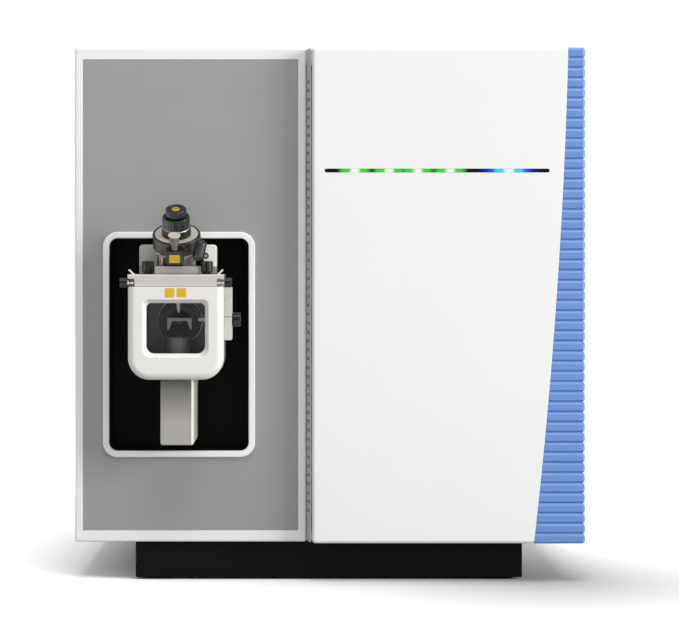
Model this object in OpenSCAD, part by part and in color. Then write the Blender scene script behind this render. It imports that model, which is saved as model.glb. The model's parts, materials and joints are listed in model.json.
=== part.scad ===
// Benchtop triple-quadrupole mass spectrometer.
// Front faces -Y, width runs along X, height along Z, bench at Z = 0.
// The origin is the middle of the footprint, on the bench.

/* [Cabinet] */
// Overall width, over the left panel and the door's side trim
cab_w = 668; // [620:2:802]
// Height of the cabinet above its plinth
cab_h = 649; // [540:1:700]
// Depth from the left front frame to the rear panel
cab_d = 682; // [640:2:760]
// Height of the black plinth that carries the cabinet
plinth_h = 51; // [40:1:70]
// Width of the plinth
plinth_w = 510; // [440:2:560]
// Setback of the plinth's front behind the left front frame
plinth_back = 12; // [6:1:60]
// Thickness of the folded steel sheet
sheet_t = 1.5; // [1:0.1:2.5]
// Thickness of the rubber pads under the plinth
pad_t = 3; // [2:0.5:6]
// Distance that the hose ports stand out behind the rear panel
port_reach = 46; // [40:1:60]

/* [Left front] */
// Width of the left front frame
left_w = 304; // [290:1:330]
// Width of the frame's upright bands
band_x = 10.5; // [8:0.5:14]
// Height of the frame's top and bottom bands
band_z = 15; // [10:0.5:20]
// Depth of the front frame from front to back
frame_t = 20; // [14:1:30]
// Width of the opening for the ion source
well_w = 183; // [178:1:200]
// Height of the opening for the ion source
well_h = 279; // [270:1:300]
// Depth of the recess behind the front frame
well_d = 48; // [44:1:52]
// Corner radius of the recess
well_r = 11; // [8:0.5:16]
// Width of the raised white ring round the recess
bezel_w = 8.4; // [6:0.2:12]
// Distance that the ring stands out of the grey panel
bezel_out = 5; // [3:0.5:8]

/* [Door] */
// Distance of the door's face in front of the left frame
door_out = 28; // [20:1:36]
// Depth of the door from its face to its rear edge
door_t = 32; // [26:0.4:40]
// Wall of the moulded door
door_wall = 3; // [2.5:0.5:4]
// Radius of the door's outer edges
door_r = 5; // [3:0.5:8]
// Gap between the door and what it closes against
door_gap = 0.8; // [0.5:0.1:1.5]
// Length of the light bar
bar_l = 293; // [260:1:310]
// Height of the light bar's face
bar_h = 4.7; // [4:0.1:7]
// Height of the light bar above the bench
bar_z = 538; // [500:1:600]
// Number of ribs on the blue side trim
rib_n = 49; // [30:1:60]
// Depth of the grooves between the ribs
rib_cut = 2; // [1.2:0.1:3]
// Height of the short slope under each rib
rib_foot = 2.2; // [1.5:0.1:3]
// Height of the long slope on top of each rib
rib_crest = 3.6; // [2:0.1:5]
// Thickness of the blue side trim
trim_t = 5; // [4.5:0.5:8]
// Radius of the trim's long curved edge
trim_arc = 7230; // [5000:10:9000]
// Width of the trim's face at the top of the door
trim_top_w = 22; // [14:1:40]
// Height of the arc's centre above the top of the door
trim_arc_up = 176; // [100:1:260]

/* [Vent strip] */
// Number of air slots
slot_n = 49; // [30:1:50]
// Distance between air slots
slot_pitch = 11.7; // [11:0.1:12]
// Height of one air slot
slot_h = 4.3; // [3:0.1:6]

/* [Ion source] */
// Width of the source housing
src_w = 122.4; // [102:0.2:130]
// Height of the source housing, without its top block
src_h = 135; // [130:1:150]
// Height of the housing's top above the bench
src_top = 403; // [396:1:410]
// Distance of the cover's face in front of the left frame
src_out = 90; // [84:1:96]
// Depth of the white cover
cover_d = 34; // [28:1:36]
// Corner radius at the foot of the housing
src_r = 28; // [20:1:36]
// Width of the window's glass
win_w = 75; // [66:1:80]
// Height of the window's glass
win_h = 64.5; // [56:0.5:68]
// Height of the window's centre below the housing's top
win_down = 69; // [66:1:72]
// Radius of the vacuum flange that carries the source
flange_r = 48; // [44:1:54]

/* [Spray probe] */
// Lean of the probe towards the user
probe_lean = 28; // [22:1:32]
// Radius of the knurled locking ring
ring_r = 31; // [28:0.1:37.2]
// Thickness of the locking ring
ring_t = 18.5; // [12:0.5:20]
// Radius of the probe's sleeve in its port
sleeve_r = 12; // [9:0.5:14]
// Radius of the turning cap
cap_r = 13.4; // [11:0.2:15]
// Radius of the thumbscrew's disc
thumb_r = 7.9; // [6.5:0.1:9]
// Width of the switch block in front of the ring
block_w = 23.5; // [20:0.5:28]
// Radial play between a turning piece and its spindle
play = 0.05; // [0.02:0.01:0.1]

/* [Hidden] */
$fn = 64;
eps = 0.01;
fit = 0.3;
band_out = 1;
half_w = cab_w / 2;
left_x = -half_w;
right_x = half_w;
cab_z = plinth_h;
top_z = plinth_h + cab_h;

// Spray probe: its axis leans forward over the source
lean_s = sin(probe_lean);
lean_c = cos(probe_lean);
ring_up = 52.6;
ring_ahead = 64;
cap_top = 36;
cap_h = 9.7;
port_r = ring_r - 3;
neck_r = 24;
flange_t = 2.2;

// Switch block and its thumbscrew, measured along the probe from the ring's top
block_t = 12.4;
block_y = ring_r + fit;
block_top = -4;
block_h = 19;
block_x = -0.8;
thumb_y = block_y + block_t / 2;
thumb_top = 17.5;
thumb_t = 2;
arm_w = 16;
arm_h = 4.7;
arm_y = neck_r + 3;
arm_top = -ring_t - fit - flange_t;
thumb_nose = ring_ahead + (thumb_y + thumb_r) * lean_c + thumb_top * lean_s;
cap_nose = ring_ahead + cap_top * lean_s + cap_r * lean_c;
nose = max(thumb_nose, cap_nose, src_out + band_out);
front_y = (nose - cab_d - port_reach) / 2;
rear_y = front_y + cab_d;

// Left front frame and the recess for the source
left_end = left_x + left_w;
well_x = left_x + 136.9;
well_z = 310.4;
well_back = front_y + well_d;
side_x = right_x - 12;

// Door and its hinges
door_x0 = left_end + 7.6;
door_y0 = front_y - door_out;
door_y1 = door_y0 + door_t;
door_z0 = cab_z + 0.8;
door_z1 = top_z - 1.5;
hinge_x = side_x - 4;
hinge_y = door_y1 + 6;
arc_z = door_z1 + trim_arc_up;
arc_x = right_x - trim_top_w + 2.1 - trim_arc;
arc_steps = 26;
rib_pitch = (door_z1 - door_z0) / rib_n;
edge_r = 4;
trim_span = 90;
body_y0 = hinge_y + 8;
inner_y0 = door_y1 + 10;
bar_x = door_x0 + 163;
light_x = [bar_x - 107.1, bar_x - 62.4, bar_x - 25.4, bar_x + 17, bar_x + 93.5];
light_r = 1.3;
hinge_z = [cab_z + 110, top_z - 110];
pin_r = 3;
leaf_h = 50;

// Source positions
src_x = well_x;
src_y0 = front_y - src_out;
cover_y1 = src_y0 + cover_d;
src_back = well_back - 10;
src_z0 = src_top - src_h;
win_z = src_top - win_down;
band_h = 15.5;
band_face = 3.4;
cover_r = 9;
top_block_h = 38.5;
tower_r = 4.5;
inlet_z = src_top - 62;
src_wall = 7;
base_top = src_top + 10.7;
drain_y = front_y - 8;

// Side screws in the bar's ends, and the clamp knobs behind the wire clips
screw_y = src_y0 + 10;
screw_z = src_top - 10.5;
screw_r = 2.5;
notch_w = 9.3;
notch_h = 11.6;
clip_r = 1.3;
clip_in = 8;
clamp_r = 7.9;
clamp_x = 37.9;
clamp_y = screw_y + clip_r + clamp_r + 1;

// Adjuster on the right wall, and the heater's plug beside the ring
adjust_y = front_y - 35;
adjust_z = inlet_z + 3;
adjust_r = 2.5;
side_plate_t = 9.5;
plug_dx = 30.8;
plug_z = src_top + 22;
plug_r = 7.6;
plug_y = src_y0 - 2;

// Vacuum system
man_w = 236;
man_l = 470;
man_h = 156;
man_x = left_x + 152;
man_y0 = well_back + 7;
man_z0 = inlet_z - man_h / 2;
man_wall = 14;
man_split = 180;
pump_y = man_y0 + 310;

// Rear: fans, mains inlet, hose ports and gas fittings
fan_r = 57;
fan_size = 120;
fan_t = 38;
fan_x = side_x - 90;
fan_z = [top_z - 110, top_z - 260];
inlet_x = side_x - 80;
inlet_h = cab_z + 70;
inlet_w = 58;
inlet_hh = 17;
hose_x = [left_x + 90, left_x + 170];
hose_z = cab_z + 80;
hose_r = 16;
hose_seat_r = 20;
gas_x = [left_x + 60, left_x + 95, left_x + 130];
gas_z = top_z - 129;
gas_r = 7;
louvre_z = gas_z - 270;

BLUE = [0.45, 0.62, 0.86];
WHITE = [0.93, 0.93, 0.93];
GREY = [0.6, 0.6, 0.61];
STEEL = [0.7, 0.7, 0.7];
BLACK = [0.08, 0.08, 0.08];

// ---- shared shapes ----

// Box between two opposite corners
module slab(lo, hi) {
  translate(lo) cube(hi - lo);
}

// Rectangle with rounded corners, centred
module round_rect(w, h, r) {
  square([w - 2 * r, h], center = true);
  square([w, h - 2 * r], center = true);
  for (sx = [-1, 1], sz = [-1, 1]) {
    translate([sx * (w / 2 - r), sz * (h / 2 - r)]) circle(r);
  }
}

// Outline with square upper corners and round lower ones, hanging from its top edge
module hanging_u(w, h, r) {
  translate([-w / 2, -h + r]) square([w, h - r]);
  translate([-w / 2 + r, -h]) square([w - 2 * r, h]);
  for (sx = [-1, 1]) translate([sx * (w / 2 - r), -h + r]) circle(r);
}

// Stands a flat outline up in the XZ plane and gives it depth from y0 to y1
module upright(y0, y1) {
  translate([0, y1, 0]) rotate([90, 0, 0]) linear_extrude(y1 - y0) children();
}

// Cylinder along +Y from y0 to y1
module rod_y(x, z, r, y0, y1) {
  translate([x, y0, z]) rotate([-90, 0, 0]) cylinder(r = r, h = y1 - y0);
}

// Cylinder along +X from x0 to x1
module rod_x(y, z, r, x0, x1) {
  translate([x0, y, z]) rotate([0, 90, 0]) cylinder(r = r, h = x1 - x0);
}

// Stands a flat outline up in the YZ plane and gives it width from x0 to x1
module along_x(x0, x1) {
  translate([x0, 0, 0]) rotate([90, 0, 90]) linear_extrude(x1 - x0) children();
}

// Places children on the probe's axis: local Z points up the probe from the ring's top
module on_probe() {
  translate([src_x, front_y - ring_ahead, src_top + ring_up]) rotate([probe_lean, 0, 0]) children();
}

// Fluted grip along local Z
module fluted(r, h, n, cut) {
  difference() {
    cylinder(r = r, h = h);
    for (i = [0:n - 1]) {
      rotate(i * 360 / n) translate([r + cut * 0.4, 0, -eps]) cylinder(r = cut, h = h + 2 * eps, $fn = 16);
    }
  }
}

// ---- cabinet ----

// Folded steel plinth, open underneath, with a flange all round under the cabinet
module base_plinth() {
  y0 = front_y + plinth_back;
  y1 = rear_y - 30;
  t = 2;
  color(BLACK) difference() {
    slab([-plinth_w / 2, y0, pad_t], [plinth_w / 2, y1, cab_z]);
    slab([-plinth_w / 2 + t, y0 + t, pad_t - 1], [plinth_w / 2 - t, y1 - t, cab_z - t]);
    slab([-plinth_w / 2 + 30, y0 + 30, 0], [plinth_w / 2 - 30, y1 - 30, cab_z + 1]);
  }
  // Corner shoes that the pads are glued to
  color(BLACK) for (sx = [-1, 1], y = [y0 + 1, y1 - 61]) {
    translate([sx * (plinth_w / 2 - 31) - 30, y, pad_t]) cube([60, 60, 3]);
  }
}

// Four round rubber pads under the plinth's corner shoes
module foot_pads() {
  y0 = front_y + plinth_back + 31;
  y1 = rear_y - 30 - 31;
  color(BLACK) for (sx = [-1, 1], y = [y0, y1]) {
    translate([sx * (plinth_w / 2 - 31), y, 0]) cylinder(r = 24, h = pad_t);
  }
}

// Bottom pan of the cabinet with upturned edges
module floor_pan() {
  x0 = left_x + sheet_t + fit;
  x1 = side_x - sheet_t - fit;
  y0 = front_y + frame_t + fit;
  y1 = rear_y - sheet_t - fit;
  rim = 25;
  color(STEEL) difference() {
    slab([x0, y0, cab_z], [x1, y1, cab_z + rim]);
    slab([x0 + sheet_t, y0 + sheet_t, cab_z + sheet_t], [x1 - sheet_t, y1 - sheet_t, cab_z + rim + 1]);
    // Air openings under the electronics bay
    for (i = [0:7]) {
      translate([40 + i * 30, 60, cab_z - 1]) cube([12, 160, 5]);
    }
  }
}

// Upright sheet between the vacuum bay and the electronics bay, with a hole for the pump's leads
module centre_bulkhead() {
  y0 = front_y + frame_t + 8;
  color(STEEL) difference() {
    slab([left_end - 2, y0, cab_z + sheet_t], [left_end - 2 + sheet_t, rear_y - 8, top_z - sheet_t]);
    rod_x(rear_y - 120, cab_z + 120, 40, left_end - 10, left_end + 10);
  }
}

// Panel behind the door, in front of the electronics bay, with a return at each side
module front_inner_panel() {
  x0 = left_end + fit;
  x1 = side_x - sheet_t - 14;
  y0 = inner_y0;
  z0 = cab_z + 30;
  z1 = top_z - 30;
  color(STEEL) difference() {
    slab([x0, y0, z0], [x1, y0 + 16, z1]);
    slab([x0 + sheet_t, y0 + sheet_t, z0 - 1], [x1 - sheet_t, y0 + 17, z1 + 1]);
    for (i = [0:9]) {
      translate([x0 + 70, y0 - 1, z0 + 60 + i * 14]) cube([170, 5, 6]);
    }
  }
}

// Folded side sheet; outer is its outside face and turn points into the cabinet
module side_sheet(outer, turn, y0) {
  z0 = cab_z + fit;
  z1 = top_z - sheet_t - fit;
  y1 = rear_y - sheet_t - fit;
  lip = 14;
  color(WHITE) translate([outer, 0, 0]) scale([turn, 1, 1]) union() {
    slab([0, y0, z0], [sheet_t, y1, z1]);
    slab([0, y0, z0 + 30], [lip, y0 + sheet_t, z1 - 30]);
    slab([0, y1 - sheet_t, z0 + 30], [lip, y1, z1 - 30]);
  }
}

module left_side_panel() {
  side_sheet(left_x, 1, front_y + frame_t + fit);
}

module right_side_panel() {
  side_sheet(side_x, -1, body_y0);
}

// Top sheet with its edges folded down inside the side sheets
module top_cover() {
  y0 = front_y + frame_t + fit;
  y1 = rear_y;
  in_x = sheet_t + fit;
  drop = 20;
  color(WHITE) difference() {
    union() {
      slab([left_x, y0, top_z - sheet_t], [side_x, y1, top_z]);
      slab([left_end + 1, body_y0, top_z - sheet_t], [side_x, y0 + 1, top_z]);
      slab([left_x + in_x, y0 + 3, top_z - drop], [side_x - in_x, y1 - in_x, top_z - eps]);
    }
    slab([left_x + in_x + sheet_t, y0 + 4.5, top_z - drop - 1],
      [side_x - in_x - sheet_t, y1 - in_x - sheet_t, top_z - sheet_t]);
  }
}

// Rear sheet with two round air grilles, a louvre field and cut-outs for what passes through it
module rear_panel() {
  z0 = cab_z + fit;
  z1 = top_z - sheet_t - fit;
  color(WHITE) difference() {
    slab([left_x, rear_y - sheet_t, z0], [side_x, rear_y, z1]);
    for (z = fan_z) grille(fan_x, z, fan_r - 3);
    for (i = [0:13]) {
      translate([left_x + 60, rear_y - 4, louvre_z + i * 14]) cube([190, 8, 6]);
    }
    slab([inlet_x - inlet_w / 2 - fit, rear_y - 4, inlet_h - inlet_hh - fit],
      [inlet_x + inlet_w / 2 + fit, rear_y + 1, inlet_h + inlet_hh + fit]);
    for (x = hose_x) rod_y(x, hose_z, hose_seat_r + fit, rear_y - 4, rear_y + 1);
    for (x = gas_x) rod_y(x, gas_z, gas_r + fit, rear_y - 4, rear_y + 1);
    slab([20 - fit, rear_y - 4, cab_z + 300 - fit], [76 + fit, rear_y + 1, cab_z + 316 + fit]);
  }
}

// Horizontal air slots that fill a circle
module grille(x, z, r) {
  for (s = [-r + 8:10:r - 8]) {
    w = sqrt(r * r - s * s);
    translate([x - w, rear_y - 4, z + s - 2.5]) cube([2 * w, 8, 5]);
  }
}

// ---- left front ----

// White moulded frame round the left front
module left_fascia() {
  ix0 = left_x + band_x;
  ix1 = left_end - band_x;
  iz0 = cab_z + band_z;
  iz1 = top_z - band_z;
  color(WHITE) difference() {
    translate([left_x + left_w / 2, 0, cab_z + cab_h / 2]) upright(front_y, front_y + frame_t)
      round_rect(left_w, cab_h, 3);
    slab([ix0, front_y - 1, iz0], [ix1, front_y + 2 + fit, iz1]);
    slab([ix0 + 3, front_y, iz0 + 3], [ix1 - 3, front_y + frame_t + 1, iz1 - 3]);
  }
}

// Grey painted panel in the frame, cut out for the recess
module grey_panel() {
  g = 0.2;
  x0 = left_x + band_x + g;
  x1 = left_end - band_x - g;
  color(GREY) difference() {
    slab([x0, front_y + 0.3, cab_z + band_z + g], [x1, front_y + 2 + fit, top_z - band_z - g]);
    translate([well_x, 0, well_z]) upright(front_y - 1, front_y + 5)
      round_rect(well_w + 2 * fit, well_h + 2 * fit, well_r + fit);
  }
}

// Raised white ring round the recess
module source_bezel() {
  color(WHITE) translate([well_x, 0, well_z]) difference() {
    upright(front_y - bezel_out, front_y + 0.3)
      round_rect(well_w + 2 * bezel_w, well_h + 2 * bezel_w, well_r + bezel_w);
    upright(front_y - bezel_out - 1, front_y + 1) round_rect(well_w, well_h, well_r);
  }
}

// Black deep-drawn tray behind the ring, with a hole for the vacuum flange
module source_well() {
  t = 1.5;
  color(BLACK) difference() {
    translate([well_x, 0, well_z]) upright(front_y + 0.3, well_back + t) round_rect(well_w, well_h, well_r);
    translate([well_x, 0, well_z]) upright(front_y - 1, well_back)
      round_rect(well_w - 2 * t, well_h - 2 * t, well_r - t);
    rod_y(src_x, inlet_z, flange_r + 0.5, well_back - 1, well_back + t + 1);
  }
}

// Slanted strip between the frame and the door, pierced with air slots
module vent_strip() {
  t = 1.5;
  x0 = left_end + 0.8;
  x1 = left_end + 4.8;
  y1 = front_y - door_out + 6;
  back = inner_y0 - 2;
  z0 = cab_z + 2;
  z1 = top_z - 2;
  first = (z0 + z1) / 2 - 1.5 - (slot_n - 1) * slot_pitch / 2;
  color(GREY) difference() {
    translate([0, 0, z0]) linear_extrude(z1 - z0)
      polygon([[x0, back], [x0, front_y], [x1, y1], [x1 + t, y1], [x0 + t, front_y + 0.2], [x0 + t, back]]);
    for (i = [0:slot_n - 1]) {
      translate([x0 - 2, y1 + 3, first + i * slot_pitch - slot_h / 2])
        cube([12, front_y - y1 - 5, slot_h]);
    }
  }
}

// ---- door ----

// Long arc that bounds the white face on its right
function arc_edge_x(z) = arc_x + sqrt(trim_arc * trim_arc - (z - arc_z) * (z - arc_z));
function arc_edge(shift) = [
  for (i = [0:arc_steps])
    let (z = door_z0 - 2 + i * (door_z1 - door_z0 + 4) / arc_steps) [arc_edge_x(z) + shift, z]
];

// Everything on the white side of the arc, from y0 to y1
module white_side(shift, y0, y1) {
  far = right_x - 110;
  upright(y0, y1) polygon(concat([[far, door_z0 - 2]], arc_edge(shift), [[far, door_z1 + 2]]));
}

// Moulded door: rounded face, shallow walls, stepped down where the side trim lies
module door_shell() {
  lap = trim_t + fit;
  x_low = right_x - 80;
  color(WHITE) difference() {
    union() {
      difference() {
        door_skin(door_x0, right_x, door_y0);
        slab([x_low, door_y0 - 1, door_z0 - 1], [right_x + 1, door_y0 + lap, door_z1 + 1]);
        slab([right_x - lap, door_y0 - 1, door_z0 - 1], [right_x + 1, door_y1 + 1, door_z1 + 1]);
      }
      intersection() {
        slab([x_low - 1, door_y0, door_z0], [right_x, door_y0 + lap + 1, door_z1]);
        white_side(-fit, door_y0 - 1, door_y0 + lap + 2);
      }
    }
    slab([door_x0 + door_wall, door_y0 + lap + door_wall, door_z0 + door_wall],
      [right_x - lap - door_wall, door_y1 + 1, door_z1 - door_wall]);
    slab([door_x0 + door_wall + 3, door_y0 + door_wall, door_z0 + door_wall + 3],
      [x_low - 6, door_y1, door_z1 - door_wall - 3]);
    slab([bar_x - bar_l / 2 + bar_h / 2, door_y0 - 1, bar_z - bar_h / 2],
      [bar_x + bar_l / 2 - bar_h / 2, door_y0 + 6, bar_z + bar_h / 2]);
    for (sx = [-1, 1]) {
      rod_y(bar_x + sx * (bar_l - bar_h) / 2, bar_z, bar_h / 2, door_y0 - 1, door_y0 + 6);
    }
  }
}

// Plain block of the door with its front edges rounded
module door_skin(x0, x1, y0) {
  mid = [(x0 + x1) / 2, 0, (door_z0 + door_z1) / 2];
  w = x1 - x0;
  h = door_z1 - door_z0;
  translate(mid) hull() {
    for (a = [0:18:90]) {
      inset = door_r * (1 - cos(a));
      y = y0 + door_r * (1 - sin(a));
      upright(y, y + 0.2) round_rect(w - 2 * inset, h - 2 * inset, 4, $fn = 24);
    }
    upright(door_y1 - 1, door_y1) round_rect(w, h, 4, $fn = 24);
  }
}

// Section of all the ribs, as depth against height: a short slope, a flat face and a long slope each
function rib_edge() = concat(
  [for (i = [0:rib_n - 1], p = [[rib_cut, 0], [0, rib_foot], [0, rib_pitch - rib_crest]])
    [p[0], i * rib_pitch + p[1]]],
  [[rib_cut, rib_n * rib_pitch]]
);

// Blue trim that wraps the door's right edge, ribbed all the way up
module side_trim() {
  span = trim_span;
  h = door_z1 - door_z0;
  edge = concat([[trim_t + door_t, 0]], rib_edge(), [[trim_t + door_t, h]]);
  color(BLUE) difference() {
    intersection() {
      // Front run and side run of the ribs meet in a mitre at the corner
      translate([0, door_y0, door_z0]) along_x(right_x - span, right_x + 1) polygon(edge);
      translate([right_x, door_y1, door_z0]) rotate([90, 0, 0]) linear_extrude(door_t + 1) mirror([1, 0])
        polygon([for (p = edge) [p[0] > trim_t ? span + 1 : p[0], p[1]]]);
      linear_z(door_z0, door_z1) trim_plan();
      // The trim's upper and lower corners are round as seen from the front
      translate([right_x - span, 0, (door_z0 + door_z1) / 2]) upright(door_y0 - 1, door_y1 + 1)
        round_rect(2 * span, h, edge_r);
    }
    slab([right_x - span - 1, door_y0 + trim_t, door_z0 - 1], [right_x - trim_t, door_y1 + 1, door_z1 + 1]);
    white_side(0, door_y0 - 1, door_y0 + trim_t + 1);
  }
}

module linear_z(z0, z1) {
  translate([0, 0, z0]) linear_extrude(z1 - z0) children();
}

// Plan of the trim's outside, with a rounded front corner
module trim_plan() {
  r = edge_r;
  x = right_x - trim_span;
  translate([x, door_y0 + r]) square([trim_span, door_t - r]);
  translate([x, door_y0]) square([trim_span - r, door_t]);
  translate([right_x - r, door_y0 + r]) circle(r);
}

// Smoked bar across the door, with rounded ends
module light_bar() {
  h = bar_h - 0.3;
  color(BLACK) difference() {
    translate([bar_x, 0, bar_z]) upright(door_y0 - 0.3, door_y0 + door_wall + 1)
      round_rect(bar_l - 0.3, h, h / 2 - 0.01);
    for (x = light_x) rod_y(x, bar_z, light_r + play, door_y0 - 1, door_y0 + door_wall + 2);
  }
}

// Five small lamps set in the bar
module status_lights() {
  color("lime") for (x = light_x) {
    rod_y(x, bar_z, light_r, door_y0 - 0.5, door_y0 + door_wall + 1);
  }
}

// Two fixed hinge halves: a pin between two eyes, on a plate behind the inner panel's edge
module hinge_brackets() {
  eye = 8;
  color(STEEL) for (z = hinge_z) {
    translate([hinge_x, hinge_y, z - leaf_h / 2 - eye]) cylinder(r = pin_r, h = leaf_h + 2 * eye);
    for (dz = [-leaf_h / 2 - eye, leaf_h / 2 + fit]) {
      translate([hinge_x, hinge_y, z + dz]) cylinder(r = 5, h = eye - fit);
      translate([hinge_x - 5, hinge_y, z + dz]) cube([6, 7, eye - fit]);
    }
    slab([hinge_x - 9, hinge_y + 5.5, z - leaf_h / 2 - eye], [hinge_x + 1, body_y0, z + leaf_h / 2 + eye]);
  }
}

// Two moving hinge halves: a barrel round the pin and a leaf into the door
module door_hinges() {
  barrel_r = 5;
  inside = door_y0 + trim_t + fit + door_wall;
  color(STEEL) for (z = hinge_z) {
    difference() {
      union() {
        translate([hinge_x, hinge_y, z - leaf_h / 2]) cylinder(r = barrel_r, h = leaf_h);
        slab([hinge_x - 5, inside, z - leaf_h / 2], [hinge_x - 1, hinge_y, z + leaf_h / 2]);
      }
      translate([hinge_x, hinge_y, z - leaf_h / 2 - 1]) cylinder(r = pin_r + play, h = leaf_h + 2);
    }
  }
}

// ---- vacuum system ----

// Aluminium vacuum chamber, open on top, bored for the source flange and for the pump
module vacuum_manifold() {
  x0 = man_x - man_w / 2;
  color(STEEL) difference() {
    slab([x0, man_y0, man_z0], [x0 + man_w, man_y0 + man_l, man_z0 + man_h]);
    slab([x0 + man_wall, man_y0 + man_wall, man_z0 + man_wall],
      [x0 + man_w - man_wall, man_y0 + man_split, man_z0 + man_h + 1]);
    slab([x0 + man_wall, man_y0 + man_split + man_wall, man_z0 + man_wall],
      [x0 + man_w - man_wall, man_y0 + man_l - man_wall, man_z0 + man_h + 1]);
    rod_y(src_x, inlet_z, 22, man_y0 - 1, man_y0 + man_wall + 1);
    rod_y(src_x, inlet_z, 8, man_y0 + man_split - 1, man_y0 + man_split + man_wall + 1);
    // Pump mouth, with the bar left across it that carries the rod sets
    difference() {
      translate([man_x, pump_y, man_z0 - 1]) cylinder(r = 60, h = man_wall + 2);
      slab([src_x - 18, pump_y - 70, man_z0 - 2], [src_x + 18, pump_y + 70, man_z0 + man_wall + 2]);
    }
  }
  // Feet that stand the chamber on the floor pan
  color(STEEL) for (sx = [-1, 1], y = [man_y0 + 20, man_y0 + man_l - 50]) {
    x = man_x + sx * (man_w / 2 - 12);
    slab([x - 12, y, cab_z + sheet_t], [x + 12, y + 30, man_z0]);
  }
}

// Flat lid over both halves of the chamber, with stiffening ribs
module manifold_lid() {
  x0 = man_x - man_w / 2;
  z0 = man_z0 + man_h;
  color(STEEL) {
    slab([x0, man_y0, z0], [x0 + man_w, man_y0 + man_l, z0 + 12]);
    for (i = [0:3]) {
      y = man_y0 + 60 + i * 110;
      slab([x0 + 15, y, z0 + 12], [x0 + man_w - 15, y + 8, z0 + 22]);
    }
  }
}

// Turbomolecular pump hanging under the chamber: flange, finned body, foot and side outlet
module turbo_pump() {
  z1 = man_z0;
  foot = cab_z + sheet_t;
  color(STEEL) translate([man_x, pump_y, 0]) difference() {
    union() {
      translate([0, 0, z1 - 12]) cylinder(r = 82, h = 12);
      translate([0, 0, foot]) cylinder(r = 66, h = z1 - foot - 12 + eps);
      for (i = [0:5]) translate([0, 0, foot + 50 + i * 14]) cylinder(r = 74, h = 5);
      rod_y(0, foot + 30, 16, 0, 110);
    }
    translate([0, 0, z1 - 60]) cylinder(r = 56, h = 61);
    rod_y(0, foot + 30, 12, 40, 111);
  }
}

// Round support ring with four rods, used by each rod set
module rod_set(y0, len, r_rod, r_field, r_ring) {
  for (sx = [-1, 1], sz = [-1, 1]) {
    rod_y(src_x + sx * r_field, inlet_z + sz * r_field, r_rod, y0, y0 + len);
  }
  for (y = [y0 + 12, y0 + len - 24]) {
    difference() {
      rod_y(src_x, inlet_z, r_ring, y, y + 12);
      rod_y(src_x, inlet_z, r_field * 1.2, y - 1, y + 13);
    }
    slab([src_x - 12, y, man_z0 + man_wall], [src_x + 12, y + 12, inlet_z - r_ring + 2]);
  }
}

// Guide that leads the ions from the inlet to the wall between the two halves
module ion_guide() {
  color(STEEL) rod_set(man_y0 + 60, 115, 3, 8, 18);
}

module first_quadrupole() {
  color(STEEL) rod_set(man_y0 + 198, 90, 6, 10, 26);
}

module last_quadrupole() {
  color(STEEL) rod_set(man_y0 + 352, 50, 6, 10, 26);
}

// Closed cell between the two filters, with an ion hole at each end and a gas inlet
module collision_cell() {
  y0 = man_y0 + 290;
  color(STEEL) difference() {
    union() {
      slab([src_x - 30, y0, inlet_z - 26], [src_x + 30, y0 + 60, inlet_z + 26]);
      slab([src_x - 14, y0 + 20, man_z0 + man_wall], [src_x + 14, y0 + 40, inlet_z - 26]);
    }
    rod_y(src_x, inlet_z, 20, y0 + 3, y0 + 57);
    rod_y(src_x, inlet_z, 4, y0 - 1, y0 + 61);
  }
}

// Detector behind the last filter, on its own flange at the rear wall of the chamber
module ion_detector() {
  y1 = man_y0 + man_l - man_wall;
  color(STEEL) {
    rod_y(src_x, inlet_z, 34, y1 - 8, y1);
    difference() {
      rod_y(src_x, inlet_z, 24, y1 - 50, y1 - 8 + eps);
      rod_y(src_x, inlet_z, 20, y1 - 51, y1 - 12);
    }
  }
}

// Round flange that stands out of the recess and carries the source
module source_flange() {
  color(STEEL) difference() {
    union() {
      rod_y(src_x, inlet_z, flange_r, src_back, man_y0);
      rod_y(src_x, inlet_z, 21.8, man_y0 - eps, man_y0 + man_wall);
    }
    rod_y(src_x, inlet_z, 8.05, src_back - 1, man_y0 + man_wall + 1);
  }
}

// Outline of the arched holder: a bar on two legs that taper towards their feet
module arch_outline() {
  half = 16;
  top = 4;
  foot = -12;
  polygon([[-half, foot], [-half, top], [half, top], [half, foot], [half - 1.4, foot], [half - 6.5, top - 4],
    [6.5 - half, top - 4], [1.4 - half, foot]]);
}

// Disc and cone round the inlet, with the small arched holder in front of it
module sweep_cone() {
  y1 = src_back;
  y0 = y1 - 18;
  color(STEEL) difference() {
    union() {
      rod_y(src_x, inlet_z, 28.7, y0, y1);
      translate([src_x, y0, inlet_z]) rotate([90, 0, 0]) cylinder(r1 = 14, r2 = 4, h = 16);
      translate([src_x, 0, inlet_z]) upright(y0 - 9, y0 + 1) arch_outline();
    }
    rod_y(src_x, inlet_z, 1.5, y0 - 20, y0 + 1);
    rod_y(src_x, inlet_z, 6.2, y0 - eps, y1 + 1);
  }
}

// Heated tube through the flange, from the cone to the ion guide
module transfer_tube() {
  color(STEEL) difference() {
    union() {
      rod_y(src_x, inlet_z, 8, src_back, man_y0 + man_wall);
      rod_y(src_x, inlet_z, 4, src_back - 17, man_y0 + 58);
    }
    rod_y(src_x, inlet_z, 1, src_back - 18, man_y0 + 59);
  }
}

// ---- electronics and services ----

// Boxed mains supply on the floor pan
module power_supply() {
  color(STEEL) difference() {
    slab([40, rear_y - 330, cab_z + sheet_t + 30], [side_x - 20, rear_y - 60, cab_z + 160]);
    for (i = [0:11]) {
      translate([60 + i * 18, rear_y - 331, cab_z + 60]) cube([8, 6, 80]);
    }
    slab([39, rear_y - 331, cab_z + sheet_t + 29], [39 + 20, rear_y - 59, cab_z + 60]);
  }
  color(STEEL) for (x = [64, side_x - 50], y = [rear_y - 320, rear_y - 90]) {
    slab([x, y, cab_z + sheet_t], [x + 20, y + 20, cab_z + sheet_t + 30]);
  }
}

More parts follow.
